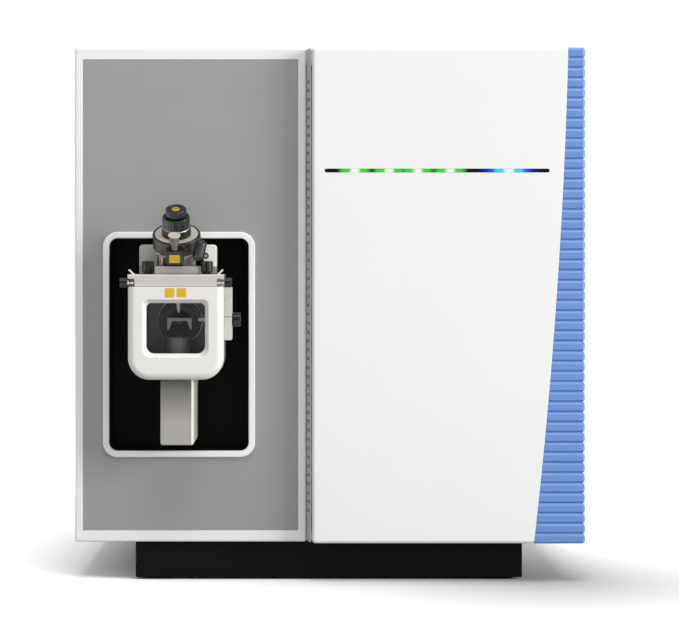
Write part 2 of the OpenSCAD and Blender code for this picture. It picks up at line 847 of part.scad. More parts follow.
// Four upright boards in a tray over the supply, one with sockets that reach the rear panel
module control_boards() {
  z0 = cab_z + 180;
  color("seagreen") {
    slab([30, -200, z0], [side_x - 130, rear_y - 60, z0 + 3]);
    for (i = [0:3]) slab([40 + i * 40, -190, z0 + 3 - eps], [42 + i * 40, rear_y - 70, z0 + 190]);
    slab([20, rear_y - 70, cab_z + 300], [76, rear_y + 1.5, cab_z + 316]);
    slab([30, -200, cab_z + sheet_t], [34, -180, z0 + eps]);
    slab([30, rear_y - 80, cab_z + sheet_t], [34, rear_y - 60, z0 + eps]);
  }
}

// Two square fan housings bolted to the rear panel, each with a hub on four struts
module fan_frames() {
  y1 = rear_y - sheet_t;
  y0 = y1 - fan_t;
  h = fan_size / 2;
  color(BLACK) for (z = fan_z) difference() {
    union() {
      difference() {
        slab([fan_x - h, y0, z - h], [fan_x + h, y1, z + h]);
        rod_y(fan_x, z, fan_r, y0 - 1, y1 + 1);
      }
      slab([fan_x - h + 1, y0 + 0.8, z - 3], [fan_x + h - 1, y0 + 3.2, z + 3]);
      slab([fan_x - 3, y0 + 0.8, z - h + 1], [fan_x + 3, y0 + 3.2, z + h - 1]);
      rod_y(fan_x, z, 22, y0 + 0.4, y0 + 4);
    }
    rod_y(fan_x, z, 2.5 + play, y0 - 1, y0 + 5);
  }
}

// Hub, spindle and seven pitched blades
module fan_rotor(z) {
  y0 = rear_y - sheet_t - fan_t;
  color(BLACK) translate([fan_x, 0, z]) {
    rod_y(0, 0, 2.5, y0 + 0.5, y0 + 8);
    rod_y(0, 0, 21, y0 + 5, y0 + 33);
    for (a = [0:360 / 7:359]) rotate([0, a, 0]) {
      translate([18, y0 + 19, 0]) rotate([38, 0, 0]) translate([0, -1, -15]) cube([36.5, 2, 30]);
    }
  }
}

module upper_fan_rotor() {
  fan_rotor(fan_z[0]);
}

module lower_fan_rotor() {
  fan_rotor(fan_z[1]);
}

// Mains inlet with three blades in an open recess, and beside it the pocket of the mains switch
module power_inlet() {
  color(BLACK) translate([inlet_x, rear_y, inlet_h]) difference() {
    union() {
      slab([-inlet_w / 2, -30, -inlet_hh], [inlet_w / 2, eps, inlet_hh]);
      slab([-inlet_w / 2 - 5, 0, -inlet_hh - 4], [inlet_w / 2 + 5, 2.5, inlet_hh + 4]);
    }
    slab([3, -22, -10], [27, 4, 10]);
    slab([-24, -16, -15], [-2, 4, 15]);
    rod_x(-4, 0, 2 + play, -26, 0);
  }
  color(STEEL) translate([inlet_x + 15, rear_y, inlet_h]) {
    for (dx = [-7, 7]) slab([dx - 1, -22, -7], [dx + 1, -4, -1]);
    slab([-1, -22, 3], [1, -4, 9]);
  }
}

// Rocker of the mains switch, tilted to off, on a cross pin
module power_switch() {
  color(BLACK) translate([inlet_x - 13, rear_y - 4, inlet_h]) {
    rotate([8, 0, 0]) slab([-10.4, -8, -13.4], [10.4, 7.5, 13.4]);
    rod_x(0, 0, 2, -12.6, 12.6);
  }
}

// Two ridged hose ports for the backing pump, on a plate inside the rear panel
module hose_ports() {
  y1 = rear_y + port_reach;
  color(STEEL) for (x = hose_x) difference() {
    union() {
      rod_y(x, hose_z, hose_seat_r, rear_y - 30, rear_y + 6);
      rod_y(x, hose_z, 28, rear_y - 12, rear_y - sheet_t);
      rod_y(x, hose_z, hose_r, rear_y, y1);
    }
    rod_y(x, hose_z, hose_r - 2.5, rear_y - 31, y1 + 1);
  }
}

// Three gas fittings with nuts, for the sheath, sweep and collision gas
module gas_inlets() {
  color("gold") for (x = gas_x) difference() {
    union() {
      rod_y(x, gas_z, gas_r, rear_y - 20, rear_y + 3);
      rod_y(x, gas_z, 10, rear_y - 5, rear_y - sheet_t);
      translate([x, rear_y, gas_z]) rotate([-90, 0, 0]) cylinder(r = 9, h = 7, $fn = 6);
      rod_y(x, gas_z, 5, rear_y, rear_y + 18);
    }
    rod_y(x, gas_z, 3.2, rear_y - 21, rear_y + 19);
  }
}

// ---- ion source ----

// Outline of the source, flat on top and round below
module source_outline(inset, top) {
  h = src_h - (src_top - top) - 2 * inset;
  translate([src_x, top - inset, 0]) hanging_u(src_w - 2 * inset, h, src_r - inset);
}

// Cast housing with a chamber open to the front, bored for the probe, the inlet and the drain
module source_housing() {
  y0 = cover_y1 + fit;
  color("dimgray") difference() {
    upright(y0, src_back) source_outline(0, src_top);
    upright(y0 - 1, src_back - 8) source_outline(src_wall, src_top);
    rod_y(src_x, inlet_z, 30, src_back - 9, src_back + 1);
    on_probe() translate([0, 0, -100]) cylinder(r = sleeve_r + fit, h = 100);
    rod_x(adjust_y, adjust_z, adjust_r + play, src_x + src_w / 2 - src_wall - 1, src_x + src_w / 2 + 1);
    translate([src_x, drain_y, src_z0 - 1]) cylinder(r = 13, h = src_wall + 2);
  }
}

// White front cover with rounded edges and a bevelled window opening
module source_cover() {
  r = cover_r;
  top = src_top - band_h - fit;
  color("linen") difference() {
    hull() {
      for (a = [0:18:90]) {
        y = src_y0 + r * (1 - sin(a));
        upright(y, y + 0.2) source_outline(r * (1 - cos(a)), top + r * (1 - cos(a)), $fn = 32);
      }
      upright(cover_y1 - 1, cover_y1) source_outline(0, top, $fn = 32);
    }
    upright(src_y0 + 6, cover_y1 + 1) source_outline(4, top);
    translate([src_x, 0, win_z]) hull() {
      upright(src_y0 - 1, src_y0) round_rect(win_w + 9, win_h + 11, 11, $fn = 32);
      upright(src_y0 + 5, src_y0 + 6) round_rect(win_w, win_h, 7, $fn = 32);
    }
    translate([src_x, 0, win_z]) upright(src_y0 + 5, src_y0 + 7) round_rect(win_w, win_h, 7);
  }
}

// Section of the cross bar, as depth against height: a round nose over a face that leans back
module band_section() {
  r = 2.2;
  y0 = src_y0 - band_out;
  z0 = src_top - band_h;
  translate([y0 + r, src_top - r]) circle(r);
  polygon([[y0 + r, src_top], [cover_y1, src_top], [cover_y1, z0], [y0 + band_face, z0], [y0, src_top - r]]);
}

// Cross bar above the cover, notched at both ends for the screws, with two wire clips
module cover_band() {
  half = src_w / 2;
  color("linen") difference() {
    union() {
      along_x(src_x - half, src_x + half) band_section();
      for (sx = [-1, 1]) {
        translate([src_x + sx * (half - clip_in), screw_y, src_top - 1]) rotate([0, sx * 48, 0])
          cylinder(r = clip_r, h = 11);
      }
    }
    for (sx = [-1, 1]) {
      x = src_x + sx * (half - notch_w / 2 + 0.5);
      slab([x - notch_w / 2 - 0.5, src_y0 - 2, screw_z - notch_h / 2],
        [x + notch_w / 2 + 0.5, cover_y1 - 6, screw_z + notch_h / 2]);
      translate([src_x + sx * (half - 14), screw_y, screw_z]) rotate([0, sx * 90, 0]) translate([0, 0, -6])
        cylinder(r = screw_r + play, h = 14);
    }
  }
}

// Side screw: stem into the bar, collar in the notch and a fluted head outside
module side_screw(side) {
  translate([src_x + side * src_w / 2, screw_y, screw_z]) rotate([0, side * 90, 0]) {
    color(STEEL) translate([0, 0, -18]) cylinder(r = screw_r, h = 20);
    color(STEEL) translate([0, 0, -6]) cylinder(r = 4.6, h = 4);
    color(BLACK) translate([0, 0, 1]) fluted(6.4, 9.5, 14, 0.7);
  }
}

module side_screw_left() {
  side_screw(-1);
}

module side_screw_right() {
  side_screw(1);
}

// Clear pane behind the cover's opening
module window_glass() {
  color("lightblue", 0.4) translate([src_x, 0, win_z])
    upright(src_y0 + 6, src_y0 + 10) round_rect(win_w + 12, win_h + 12, 9);
}

// Cast block on top of the housing: a plate under the probe and a tower at each side
module top_block() {
  y1 = front_y + 8;
  color(STEEL) difference() {
    union() {
      slab([src_x - neck_r - 3, src_y0 + 8, src_top], [src_x + neck_r + 5, front_y - 30, base_top]);
      slab([src_x - 50, front_y - 35, src_top], [src_x + 50, y1, base_top]);
      tower(-50, -25, front_y - 35, y1);
      tower(33, 50, front_y - 25, y1);
      rod_y(src_x + 39, src_top + 24, 3.6, front_y - 38, front_y - 24);
    }
    on_probe() translate([0, 0, -100]) cylinder(r = sleeve_r + fit, h = 80);
  }
}

// Tower of the top block, round at its upper corners
module tower(x0, x1, y0, y1) {
  translate([src_x + (x0 + x1) / 2, 0, src_top + top_block_h / 2]) upright(y0, y1)
    round_rect(x1 - x0, top_block_h, tower_r);
}

// Leaning port: neck cut level on the block, flange and head inside the locking ring
module probe_port() {
  color(STEEL) difference() {
    union() {
      intersection() {
        on_probe() translate([0, 0, -80]) cylinder(r = neck_r, h = 70);
        slab([src_x - 60, src_y0 - 60, base_top], [src_x + 60, front_y + 40, src_top + 90]);
      }
      on_probe() translate([0, 0, -ring_t - fit - flange_t]) cylinder(r = ring_r - 1, h = flange_t);
      on_probe() translate([0, 0, -ring_t - 0.4]) cylinder(r = port_r, h = ring_t - 0.4);
      // Seat of the switch block in front, and the socket boss at the right
      on_probe() slab([-arm_w / 2, -arm_y, arm_top - arm_h], [arm_w / 2, -neck_r + 6, arm_top + eps]);
      rod_x(front_y - 46, plug_z, 5, src_x, src_x + plug_dx - 3.3);
    }
    on_probe() translate([0, 0, -90]) cylinder(r = sleeve_r + play, h = 91);
  }
}

// Knurled ring that locks the probe in its port
module lock_ring() {
  color(BLACK) on_probe() difference() {
    translate([0, 0, -ring_t]) fluted(ring_r, ring_t, 48, 0.9);
    for (i = [0:floor(ring_t / 3) - 2]) translate([0, 0, -ring_t + 2.6 + i * 3]) difference() {
      cylinder(r = ring_r + 1, h = 0.9);
      translate([0, 0, -1]) cylinder(r = ring_r - 1, h = 3);
    }
    translate([0, 0, -ring_t - 1]) cylinder(r = port_r + play, h = ring_t + 2);
  }
}

// Spray probe: sleeve in the port, stepped barrel, nozzle and needle
module probe_body() {
  color(BLACK) on_probe() {
    translate([0, 0, -0.8]) cylinder(r = 18.8, h = 10.3);
    translate([0, 0, 9]) cylinder(r = 16.8, h = 2);
    translate([0, 0, 10.5]) cylinder(r = 17.5, h = 15);
    translate([0, 0, 25]) cylinder(r = 6, h = 6);
    translate([0, 0, -88]) cylinder(r = sleeve_r, h = 88);
    translate([0, 0, -104]) cylinder(r1 = 3, r2 = 5.5, h = 17);
    translate([0, 0, -116]) cylinder(r1 = 1.6, r2 = 2.6, h = 13);
  }
}

// Turning cap on the probe, with a gold contact in its top
module probe_cap() {
  color(BLACK) on_probe() difference() {
    translate([0, 0, cap_top - cap_h]) fluted(cap_r, cap_h, 24, 0.7);
    translate([0, 0, cap_top - cap_h - 1]) cylinder(r = 6 + play, h = 6.2);
    translate([0, 0, cap_top - 1.5]) cylinder(r = 5.4, h = 2);
  }
  color("gold") on_probe() translate([0, 0, cap_top - 1.5 - eps]) cylinder(r = 4.6, h = 1.8);
}

// Black safety switch block in front of the ring, leaning with the probe, on an arm from the port's seat
module interlock_block() {
  y0 = -block_y - block_t;
  color(BLACK) on_probe() difference() {
    union() {
      translate([block_x, 0, block_top - block_h / 2]) upright(y0, -block_y)
        round_rect(block_w, block_h, 3.5);
      slab([-arm_w / 2, -block_y - 2, arm_top - arm_h], [arm_w / 2, -arm_y, arm_top - fit]);
    }
    // Shallow field for a plain patch on the face, and the thumbscrew's hole
    translate([block_x, 0, block_top - block_h / 2 - 1]) upright(y0 - 1, y0 + 0.5) round_rect(14.4, 11, 1);
    translate([block_x, -thumb_y, block_top - 9]) cylinder(r = screw_r + play, h = 10);
  }
}

// Beige thumbscrew with a disc head, standing in the switch block
module ring_thumbscrew() {
  color("tan") on_probe() translate([block_x, -thumb_y, 0]) {
    translate([0, 0, block_top - 8]) cylinder(r = screw_r, h = 10);
    translate([0, 0, block_top + fit]) cylinder(r = 3.9, h = 9);
    translate([0, 0, 4.8]) cylinder(r = 6, h = thumb_top - thumb_t - 4.7);
    translate([0, 0, thumb_top - thumb_t]) fluted(thumb_r, thumb_t, 20, 0.5);
  }
}

// Plate on the housing's right wall, in two halves with a seam between them
module side_plate() {
  x0 = src_x + src_w / 2;
  color(STEEL) difference() {
    slab([x0, src_y0 + 28, src_top - 85], [x0 + side_plate_t, front_y - 10, src_top - 17]);
    slab([x0 + side_plate_t - 1, src_y0 + 27, src_top - 55.3],
      [x0 + side_plate_t + 1, front_y - 9, src_top - 54.5]);
    rod_x(adjust_y, adjust_z, adjust_r + play, x0 - 1, x0 + side_plate_t + 1);
  }
}

// Ridged knob on a shaft that reaches into the chamber
module adjuster_knob() {
  x0 = src_x + src_w / 2;
  knob_x = x0 + side_plate_t + fit;
  color(BLACK) translate([knob_x, adjust_y, adjust_z]) rotate([0, 90, 0]) fluted(9.4, 11, 20, 0.9);
  color(STEEL) rod_x(adjust_y, adjust_z, adjust_r, src_x + 27, knob_x + 1);
}

// Folded duct under the source that leads the spray's vapour to the rear, with a slanting right front edge
module drain_duct() {
  w = 42.8;
  t = 2;
  y0 = src_y0 + 14;
  y1 = well_back - 0.5;
  z0 = src_z0 - 84;
  slant = 5.8;
  color(STEEL) translate([src_x + 1.4, 0, 0]) difference() {
    intersection() {
      linear_z(z0, src_z0)
        polygon([[-w / 2, y0], [w / 2 - slant, y0], [w / 2, y0 + slant], [w / 2, y1], [-w / 2, y1]]);
      translate([0, 0, z0 + 50]) upright(y0, y1) round_rect(w, 100, 3.5);
    }
    linear_z(z0 + t, src_z0 + 1)
      polygon([[-w / 2 + t, y0 + t], [w / 2 - slant - t / 2, y0 + t], [w / 2 - t, y0 + slant + t / 2],
        [w / 2 - t, y1 - t], [-w / 2 + t, y1 - t]]);
  }
}

// Cup in the chamber floor that catches the spray
module spray_drain() {
  color(STEEL) translate([src_x, drain_y, 0]) difference() {
    union() {
      translate([0, 0, src_z0 + src_wall]) cylinder(r = 16.6, h = 45);
      translate([0, 0, src_z0 - 6]) cylinder(r = 12.7, h = src_wall + 7);
    }
    translate([0, 0, src_z0 + src_wall + 4]) cylinder(r = 14, h = 42);
    translate([0, 0, src_z0 - 7]) cylinder(r = 10, h = src_wall + 15);
  }
}

// Oval connector in front of the ring's right side, on a stem that meets the port's boss
module heater_plug() {
  color(BLACK) translate([src_x + plug_dx, 0, 0]) {
    translate([0, plug_y, src_top + 30.5]) rotate([0, 12, 0]) {
      translate([0, 0, -6]) cylinder(r = plug_r, h = 13);
      translate([0, 0, -6]) sphere(r = plug_r);
      translate([0, 0, 7]) sphere(r = plug_r);
    }
    rod_y(0, plug_z, 3, plug_y, front_y - 41);
  }
}

// Ribbed black knob that clamps the source's front edge
module clamp_knob(side) {
  color(BLACK) translate([src_x + side * clamp_x + 1.5, clamp_y, src_top]) difference() {
    union() {
      cylinder(r1 = clamp_r - 2.4, r2 = clamp_r, h = 4);
      translate([0, 0, 4 - eps]) cylinder(r = clamp_r, h = 13);
    }
    for (i = [0:15]) rotate(i * 22.5) translate([clamp_r + 0.4, 0, -1]) cylinder(r = 0.9, h = 20, $fn = 16);
  }
}

module clamp_knob_left() {
  clamp_knob(-1);
}

module clamp_knob_right() {
  clamp_knob(1);
}

// ---- the pieces ----

base_plinth();
foot_pads();
floor_pan();
centre_bulkhead();
front_inner_panel();
left_side_panel();
right_side_panel();
top_cover();
rear_panel();
left_fascia();
grey_panel();
source_bezel();
source_well();
vent_strip();
hinge_brackets();
vacuum_manifold();
manifold_lid();
turbo_pump();
ion_guide();
first_quadrupole();
collision_cell();
last_quadrupole();
ion_detector();
source_flange();
sweep_cone();
transfer_tube();
power_supply();
control_boards();
fan_frames();
upper_fan_rotor();
lower_fan_rotor();
power_inlet();
power_switch();
hose_ports();
gas_inlets();
door_shell();
side_trim();
light_bar();
status_lights();
door_hinges();
source_housing();
source_cover();
cover_band();
window_glass();
top_block();
probe_port();
side_plate();
drain_duct();
spray_drain();
heater_plug();
interlock_block();
probe_body();
lock_ring();
probe_cap();
ring_thumbscrew();
clamp_knob_left();
clamp_knob_right();
side_screw_left();
side_screw_right();
adjuster_knob();
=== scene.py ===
"""Looks of a benchtop mass spectrometer: its mouldings, enamels, ion source and rear, round a fixed frame."""

import json
from math import atan2, cos, hypot, pi, radians, sin, sqrt

import bmesh
import bpy
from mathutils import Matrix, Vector


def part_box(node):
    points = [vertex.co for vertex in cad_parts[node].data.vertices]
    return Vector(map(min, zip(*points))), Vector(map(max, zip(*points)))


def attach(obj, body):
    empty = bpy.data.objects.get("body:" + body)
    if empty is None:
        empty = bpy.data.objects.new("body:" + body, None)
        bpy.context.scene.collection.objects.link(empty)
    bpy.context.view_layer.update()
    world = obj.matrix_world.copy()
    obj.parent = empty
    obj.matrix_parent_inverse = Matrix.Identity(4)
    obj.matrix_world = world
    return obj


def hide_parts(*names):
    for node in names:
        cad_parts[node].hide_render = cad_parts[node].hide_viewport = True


bl_info = {
    "name": "Benchtop Mass Spectrometer",
    "version": (1, 0, 0),
    "blender": (4, 5, 0),
    "location": "3D View > Sidebar > Spectrometer",
    "description": "Models the visible pieces of a benchtop mass spectrometer and gives them their finishes",
    "category": "Add Mesh",
}

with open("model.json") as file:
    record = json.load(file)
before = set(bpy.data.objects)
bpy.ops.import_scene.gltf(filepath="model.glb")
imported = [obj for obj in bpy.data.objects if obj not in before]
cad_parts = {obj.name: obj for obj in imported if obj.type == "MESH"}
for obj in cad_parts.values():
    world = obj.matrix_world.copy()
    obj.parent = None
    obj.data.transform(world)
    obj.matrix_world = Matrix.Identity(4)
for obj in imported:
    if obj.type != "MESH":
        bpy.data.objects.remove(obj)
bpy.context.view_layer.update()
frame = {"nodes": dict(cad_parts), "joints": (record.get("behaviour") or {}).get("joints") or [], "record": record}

MM = 0.001
X, Y, Z = 0, 1, 2
# Two places nearer than this, in metres, count as one
NEAR = 1e-5


def srgb(code):
    """Linear red, green and blue of an sRGB hex colour."""
    parts = [int(code[i:i + 2], 16) / 255 for i in (1, 3, 5)]
    return [c / 12.92 if c <= 0.04045 else ((c + 0.055) / 1.055) ** 2.4 for c in parts]


# ---- places that several pieces share, all from the frame ----

front_low, front_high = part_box("left_fascia")
FRONT = front_low.y
door_low, door_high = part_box("side_trim")
door_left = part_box("door_shell")[0].x
cover_low, cover_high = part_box("source_cover")
band_low, band_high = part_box("cover_band")
SOURCE_X = (cover_low.x + cover_high.x) / 2
SOURCE_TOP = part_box("top_block")[0].z
RING_TURN = next(joint for joint in frame["joints"] if joint["name"] == "lock_ring_turn")
PROBE_TOP = Vector(RING_TURN["pos_m"])
PROBE_LEAN = atan2(-RING_TURN["axis"][Y], RING_TURN["axis"][Z])


# ---- settings ----

class ColourSettings(bpy.types.PropertyGroup):
    shell_white: bpy.props.FloatVectorProperty(
        name="Shell white", description="Door, frame and side sheets", subtype="COLOR",
        default=srgb("#F0F0EF"))
    cover_white: bpy.props.FloatVectorProperty(
        name="Source cover white", description="Warm white of the source cover", subtype="COLOR",
        default=srgb("#EAE8E3"))
    panel_grey: bpy.props.FloatVectorProperty(
        name="Panel grey", description="Paint of the left front panel", subtype="COLOR",
        default=srgb("#969696"))
    trim_blue: bpy.props.FloatVectorProperty(
        name="Trim blue", description="Ribbed trim at the door's right", subtype="COLOR",
        default=srgb("#628BCB"))
    lamp_green: bpy.props.FloatVectorProperty(
        name="Lamp green", description="Four of the status lamps", subtype="COLOR", default=srgb("#2BE02B"))
    lamp_cyan: bpy.props.FloatVectorProperty(
        name="Lamp cyan", description="The fifth status lamp", subtype="COLOR", default=srgb("#24DCF0"))
    patch_yellow: bpy.props.FloatVectorProperty(
        name="Patch yellow", description="Plain square patches on the source", subtype="COLOR",
        default=srgb("#D9B011"))


class CabinetSettings(bpy.types.PropertyGroup):
    band_width: bpy.props.FloatProperty(
        name="Side band", description="Width of the left frame's upright bands", unit="LENGTH",
        default=10.5 * MM)
    band_height: bpy.props.FloatProperty(
        name="Top band", description="Height of the left frame's level bands", unit="LENGTH", default=15 * MM)
    frame_edge: bpy.props.FloatProperty(
        name="Frame edge", description="Radius of the left frame's outer edges", unit="LENGTH",
        default=2.4 * MM)
    recess_corner: bpy.props.FloatProperty(
        name="Recess corner", description="Corner radius of the source recess", unit="LENGTH",
        default=11 * MM)
    ring_width: bpy.props.FloatProperty(
        name="Recess ring", description="Width of the raised ring round the recess", unit="LENGTH",
        default=8.4 * MM)


class DoorSettings(bpy.types.PropertyGroup):
    edge: bpy.props.FloatProperty(
        name="Door edge", description="Radius of the door's outer edges", unit="LENGTH", default=4.5 * MM)
    wall: bpy.props.FloatProperty(
        name="Door wall", description="Wall of the moulded door", unit="LENGTH", default=3 * MM)
    trim_thickness: bpy.props.FloatProperty(
        name="Trim thickness", description="Thickness of the ribbed trim", unit="LENGTH", default=5 * MM)
    trim_top: bpy.props.FloatProperty(
        name="Trim width at the top", description="Width of the trim's face at the door's top", unit="LENGTH",
        default=22 * MM)
    arc_radius: bpy.props.FloatProperty(
        name="Arc radius", description="Radius of the trim's long curved edge", unit="LENGTH",
        default=7230 * MM)
    arc_rise: bpy.props.FloatProperty(
        name="Arc centre", description="Height of the arc's centre above the door's top", unit="LENGTH",
        default=176 * MM)
    ribs: bpy.props.IntProperty(name="Ribs", description="Ribs up the trim", default=49, min=10, max=80)


class SourceSettings(bpy.types.PropertyGroup):
    foot_radius: bpy.props.FloatProperty(
        name="Foot radius", description="Radius of the cover's lower corners", unit="LENGTH", default=28 * MM)
    edge: bpy.props.FloatProperty(
        name="Cover edge", description="Radius of the cover's front edge", unit="LENGTH", default=9 * MM)
    window_width: bpy.props.FloatProperty(
        name="Window width", description="Width of the clear window", unit="LENGTH", default=75 * MM)
    window_height: bpy.props.FloatProperty(
        name="Window height", description="Height of the clear window", unit="LENGTH", default=64.5 * MM)
    ring_flutes: bpy.props.IntProperty(
        name="Ring flutes", description="Flutes round the locking ring", default=60, min=20, max=120)


class StageSettings(bpy.types.PropertyGroup):
    eye: bpy.props.FloatVectorProperty(
        name="Eye", description="Place of the camera", subtype="TRANSLATION",
        default=(-0.0381, FRONT - 3.1, 0.4188))
    lens: bpy.props.FloatProperty(name="Lens", description="Focal length in millimetres", default=125)
    key_power: bpy.props.FloatProperty(
        name="Key", description="Power of the right softbox in watts", default=445)
    top_power: bpy.props.FloatProperty(
        name="Top", description="Power of the overhead softbox in watts", default=82)
    room_light: bpy.props.FloatProperty(
        name="Room", description="Level of the soft light all round", default=0.47)


def settings(group):
    """The scene's copy of one settings group."""
    return getattr(bpy.context.scene, group)


# ---- modelling helpers ----

def settle():
    """Object mode, with nothing selected."""
    if bpy.context.mode != "OBJECT":
        bpy.ops.object.mode_set(mode="OBJECT")
    bpy.ops.object.select_all(action="DESELECT")


def take(piece):
    """Makes the piece the only one selected, and the active one."""
    settle()
    piece.select_set(True)
    bpy.context.view_layer.objects.active = piece


def keep_primitive(name):
    """Names the primitive just added and puts its place into its mesh."""
    piece = bpy.context.object
    piece.name = piece.data.name = name
    bpy.ops.object.transform_apply(location=True, rotation=True, scale=True)
    return piece


def block(name, low, high):
    """Box between two opposite corners."""
    settle()
    low, high = Vector(low), Vector(high)
    bpy.ops.mesh.primitive_cube_add(size=1, location=(low + high) / 2)
    bpy.context.object.scale = high - low
    return keep_primitive(name)


def rod(name, start, end, radius, sides=48):
    """Cylinder from one point to another."""
    settle()
    start, end = Vector(start), Vector(end)
    along = end - start
    bpy.ops.mesh.primitive_cylinder_add(
        vertices=sides, radius=radius, depth=along.length, location=(start + end) / 2,
        rotation=along.to_track_quat("Z", "Y").to_euler())
    return keep_primitive(name)


def pick(piece, domain, wanted):
    """Enters edit mode with only those verts, edges or faces selected for which wanted(item) is true."""
    take(piece)
    bpy.ops.object.mode_set(mode="EDIT")
    bpy.ops.mesh.select_mode(type={"verts": "VERT", "edges": "EDGE", "faces": "FACE"}[domain])
    bpy.ops.mesh.select_all(action="DESELECT")
    mesh = bmesh.from_edit_mesh(piece.data)
    for item in [item for item in getattr(mesh, domain) if wanted(item)]:
        item.select_set(True)
    bmesh.update_edit_mesh(piece.data)


def runs_along(edge, axis):
    """True for an edge parallel to an axis."""
    span = edge.verts[1].co - edge.verts[0].co
    return abs(span[axis]) > 0.999 * span.length


def at(edge, axis, place):
    """True for an edge whose ends both lie at a place along an axis."""
    return all(abs(vertex.co[axis] - place) < NEAR for vertex in edge.verts)


def bevel_edges(piece, radius, steps, wanted):
    """Rounds the edges for which wanted(edge) is true."""
    pick(piece, "edges", wanted)
    bpy.ops.mesh.bevel(offset=radius, segments=steps, affect="EDGES", clamp_overlap=True)
    settle()


def rounded_block(name, low, high, radius, axis=Y, steps=8):
    """Box whose four edges along one axis are rounded."""
    piece = block(name, low, high)
    bevel_edges(piece, radius, steps, lambda edge: runs_along(edge, axis))
    return piece


def apply_modifier(piece, kind, **values):
    """Adds one modifier with its values and applies it."""
    take(piece)
    modifier = piece.modifiers.new(kind.title(), kind)
    for key, value in values.items():
        setattr(modifier, key, value)
    bpy.ops.object.modifier_apply(modifier=modifier.name)


def cut(piece, cutter):
    """Takes the cutter's solid out of the piece."""
    apply_modifier(piece, "BOOLEAN", object=cutter, operation="DIFFERENCE", solver="EXACT")
    bpy.data.objects.remove(cutter)


def ease(piece, radius, steps=2, angle=40):
    """Rounds every edge that is sharper than the angle."""
    apply_modifier(piece, "BEVEL", width=radius, segments=steps, limit_method="ANGLE",
                   angle_limit=radians(angle), use_clamp_overlap=True)


def join(piece, *others):
    """Puts other solids into the piece's mesh."""
    take(piece)
    for other in others:
        other.select_set(True)
    bpy.ops.object.join()
    return piece


def place(piece, location=(0, 0, 0), rotation=(0, 0, 0)):
    """Turns and moves the piece, and leaves its object at the origin."""
    take(piece)
    piece.location = location
    piece.rotation_euler = rotation
    bpy.ops.object.transform_apply(location=True, rotation=True, scale=True)
    return piece


def on_probe(piece):
    """Places a piece made along Z on the leaning probe, from the locking ring's top."""
    return place(piece, PROBE_TOP, (PROBE_LEAN, 0, 0))


def in_mm(points):
    """Points written in millimetres, in the scene's metres."""
    return [(across * MM, up * MM) for across, up in points]


def turned(name, profile, sides=64):
    """Solid of revolution about Z through (radius, height) points: a circle, extruded and resized."""
    settle()
    radius, height = profile[0]
    bpy.ops.mesh.primitive_circle_add(
        vertices=sides, radius=radius, fill_type="NGON", location=(0, 0, height))
    piece = keep_primitive(name)
    pick(piece, "faces", lambda face: True)
    for next_radius, next_height in profile[1:]:
        bpy.ops.mesh.extrude_region_move(TRANSFORM_OT_translate={"value": (0, 0, next_height - height)})
        share = next_radius / radius
        bpy.ops.transform.resize(value=(share, share, 1), center_override=(0, 0, next_height))
        radius, height = next_radius, next_height
    bpy.ops.mesh.select_all(action="SELECT")
    bpy.ops.mesh.normals_make_consistent(inside=False)
    settle()
    return piece


def flute(piece, grooves, depth, radius, low, high, share=0.3):
    """Pulls the outer vertices of every groove towards Z, between two heights."""
    def in_groove(vertex):
        turn = (atan2(vertex.co.y, vertex.co.x) / (2 * pi) * grooves + share / 2) % 1
        outside = hypot(vertex.co.x, vertex.co.y) > radius - 0.1 * MM
        return outside and low - 1e-6 <= vertex.co.z <= high + 1e-6 and turn < share
    pick(piece, "verts", in_groove)
    less = (radius - depth) / radius
    bpy.ops.transform.resize(value=(less, less, 1), center_override=(0, 0, 0))
    settle()


def slice_at(piece, axis, height):
    """Adds a loop of edges right round the piece, square to an axis."""
    pick(piece, "faces", lambda face: True)
    normal = [1 if i == axis else 0 for i in range(3)]
    bpy.ops.mesh.bisect(plane_co=[height * n for n in normal], plane_no=normal)
    settle()


def refined_copy(node, name, edge, steps=2, angle=45):
    """Copy of a CAD piece, with its loose triangles merged into flat faces and its edges eased."""
    piece = bpy.data.objects.new(name, frame["nodes"][node].data.copy())
    bpy.context.scene.collection.objects.link(piece)
    pick(piece, "faces", lambda face: True)
    bpy.ops.mesh.remove_doubles(threshold=0.005 * MM)
    bpy.ops.mesh.dissolve_limited(angle_limit=radians(0.5), delimit={"NORMAL"})
    settle()
    if edge:
        ease(piece, edge, steps, angle)
    return piece


def hand_over(piece, kind, slot, body, *nodes, angle=38):
    """Shades the piece, gives it its kind of finish and its body, and hides the frame's pieces that it stands for.
    Its slot is not used.
    """
    take(piece)
    bpy.ops.object.shade_smooth_by_angle(angle=radians(angle))
    apply_modifier(piece, "WEIGHTED_NORMAL", keep_sharp=True)
    piece.data.materials.clear()
    piece.data.materials.append(finished(kind))
    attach(piece, body)
    if nodes:
        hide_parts(*nodes)
    return piece


# ---- material helpers ----

def add_node(owner, kind, values=None, links=None):
    """Adds one node. Values are socket values or node properties, and links are the sockets that feed it."""
    tree = owner.node_tree
    node = tree.nodes.new(kind)
    for key, value in (values or {}).items():
        if isinstance(key, int) or key in node.inputs:
            node.inputs[key].default_value = value
        else:
            setattr(node, key, value)
    for key, source in (links or {}).items():
        tree.links.new(source, node.inputs[key])
    return node


def bare_material(name):
    """A material with only its principled shader and output."""
    material = bpy.data.materials.new(name)
    material.use_nodes = True
    return material


def shader_of(material):
    """The principled shader of a material."""
    return material.node_tree.nodes["Principled BSDF"]


def link(material, source, socket):
    """Feeds a socket of the principled shader."""
    material.node_tree.links.new(source, shader_of(material).inputs[socket])


def shades(colour, spread):
    """A darker and a lighter version of a linear colour."""
    return [[max(0, min(1, c * (1 + sign * spread))) for c in colour] + [1] for sign in (-1, 1)]


def tone(colour):
    """Linear colour of a hex code, or of the colour setting with that name."""
    return srgb(colour) if colour.startswith("#") else getattr(settings("colours"), colour)


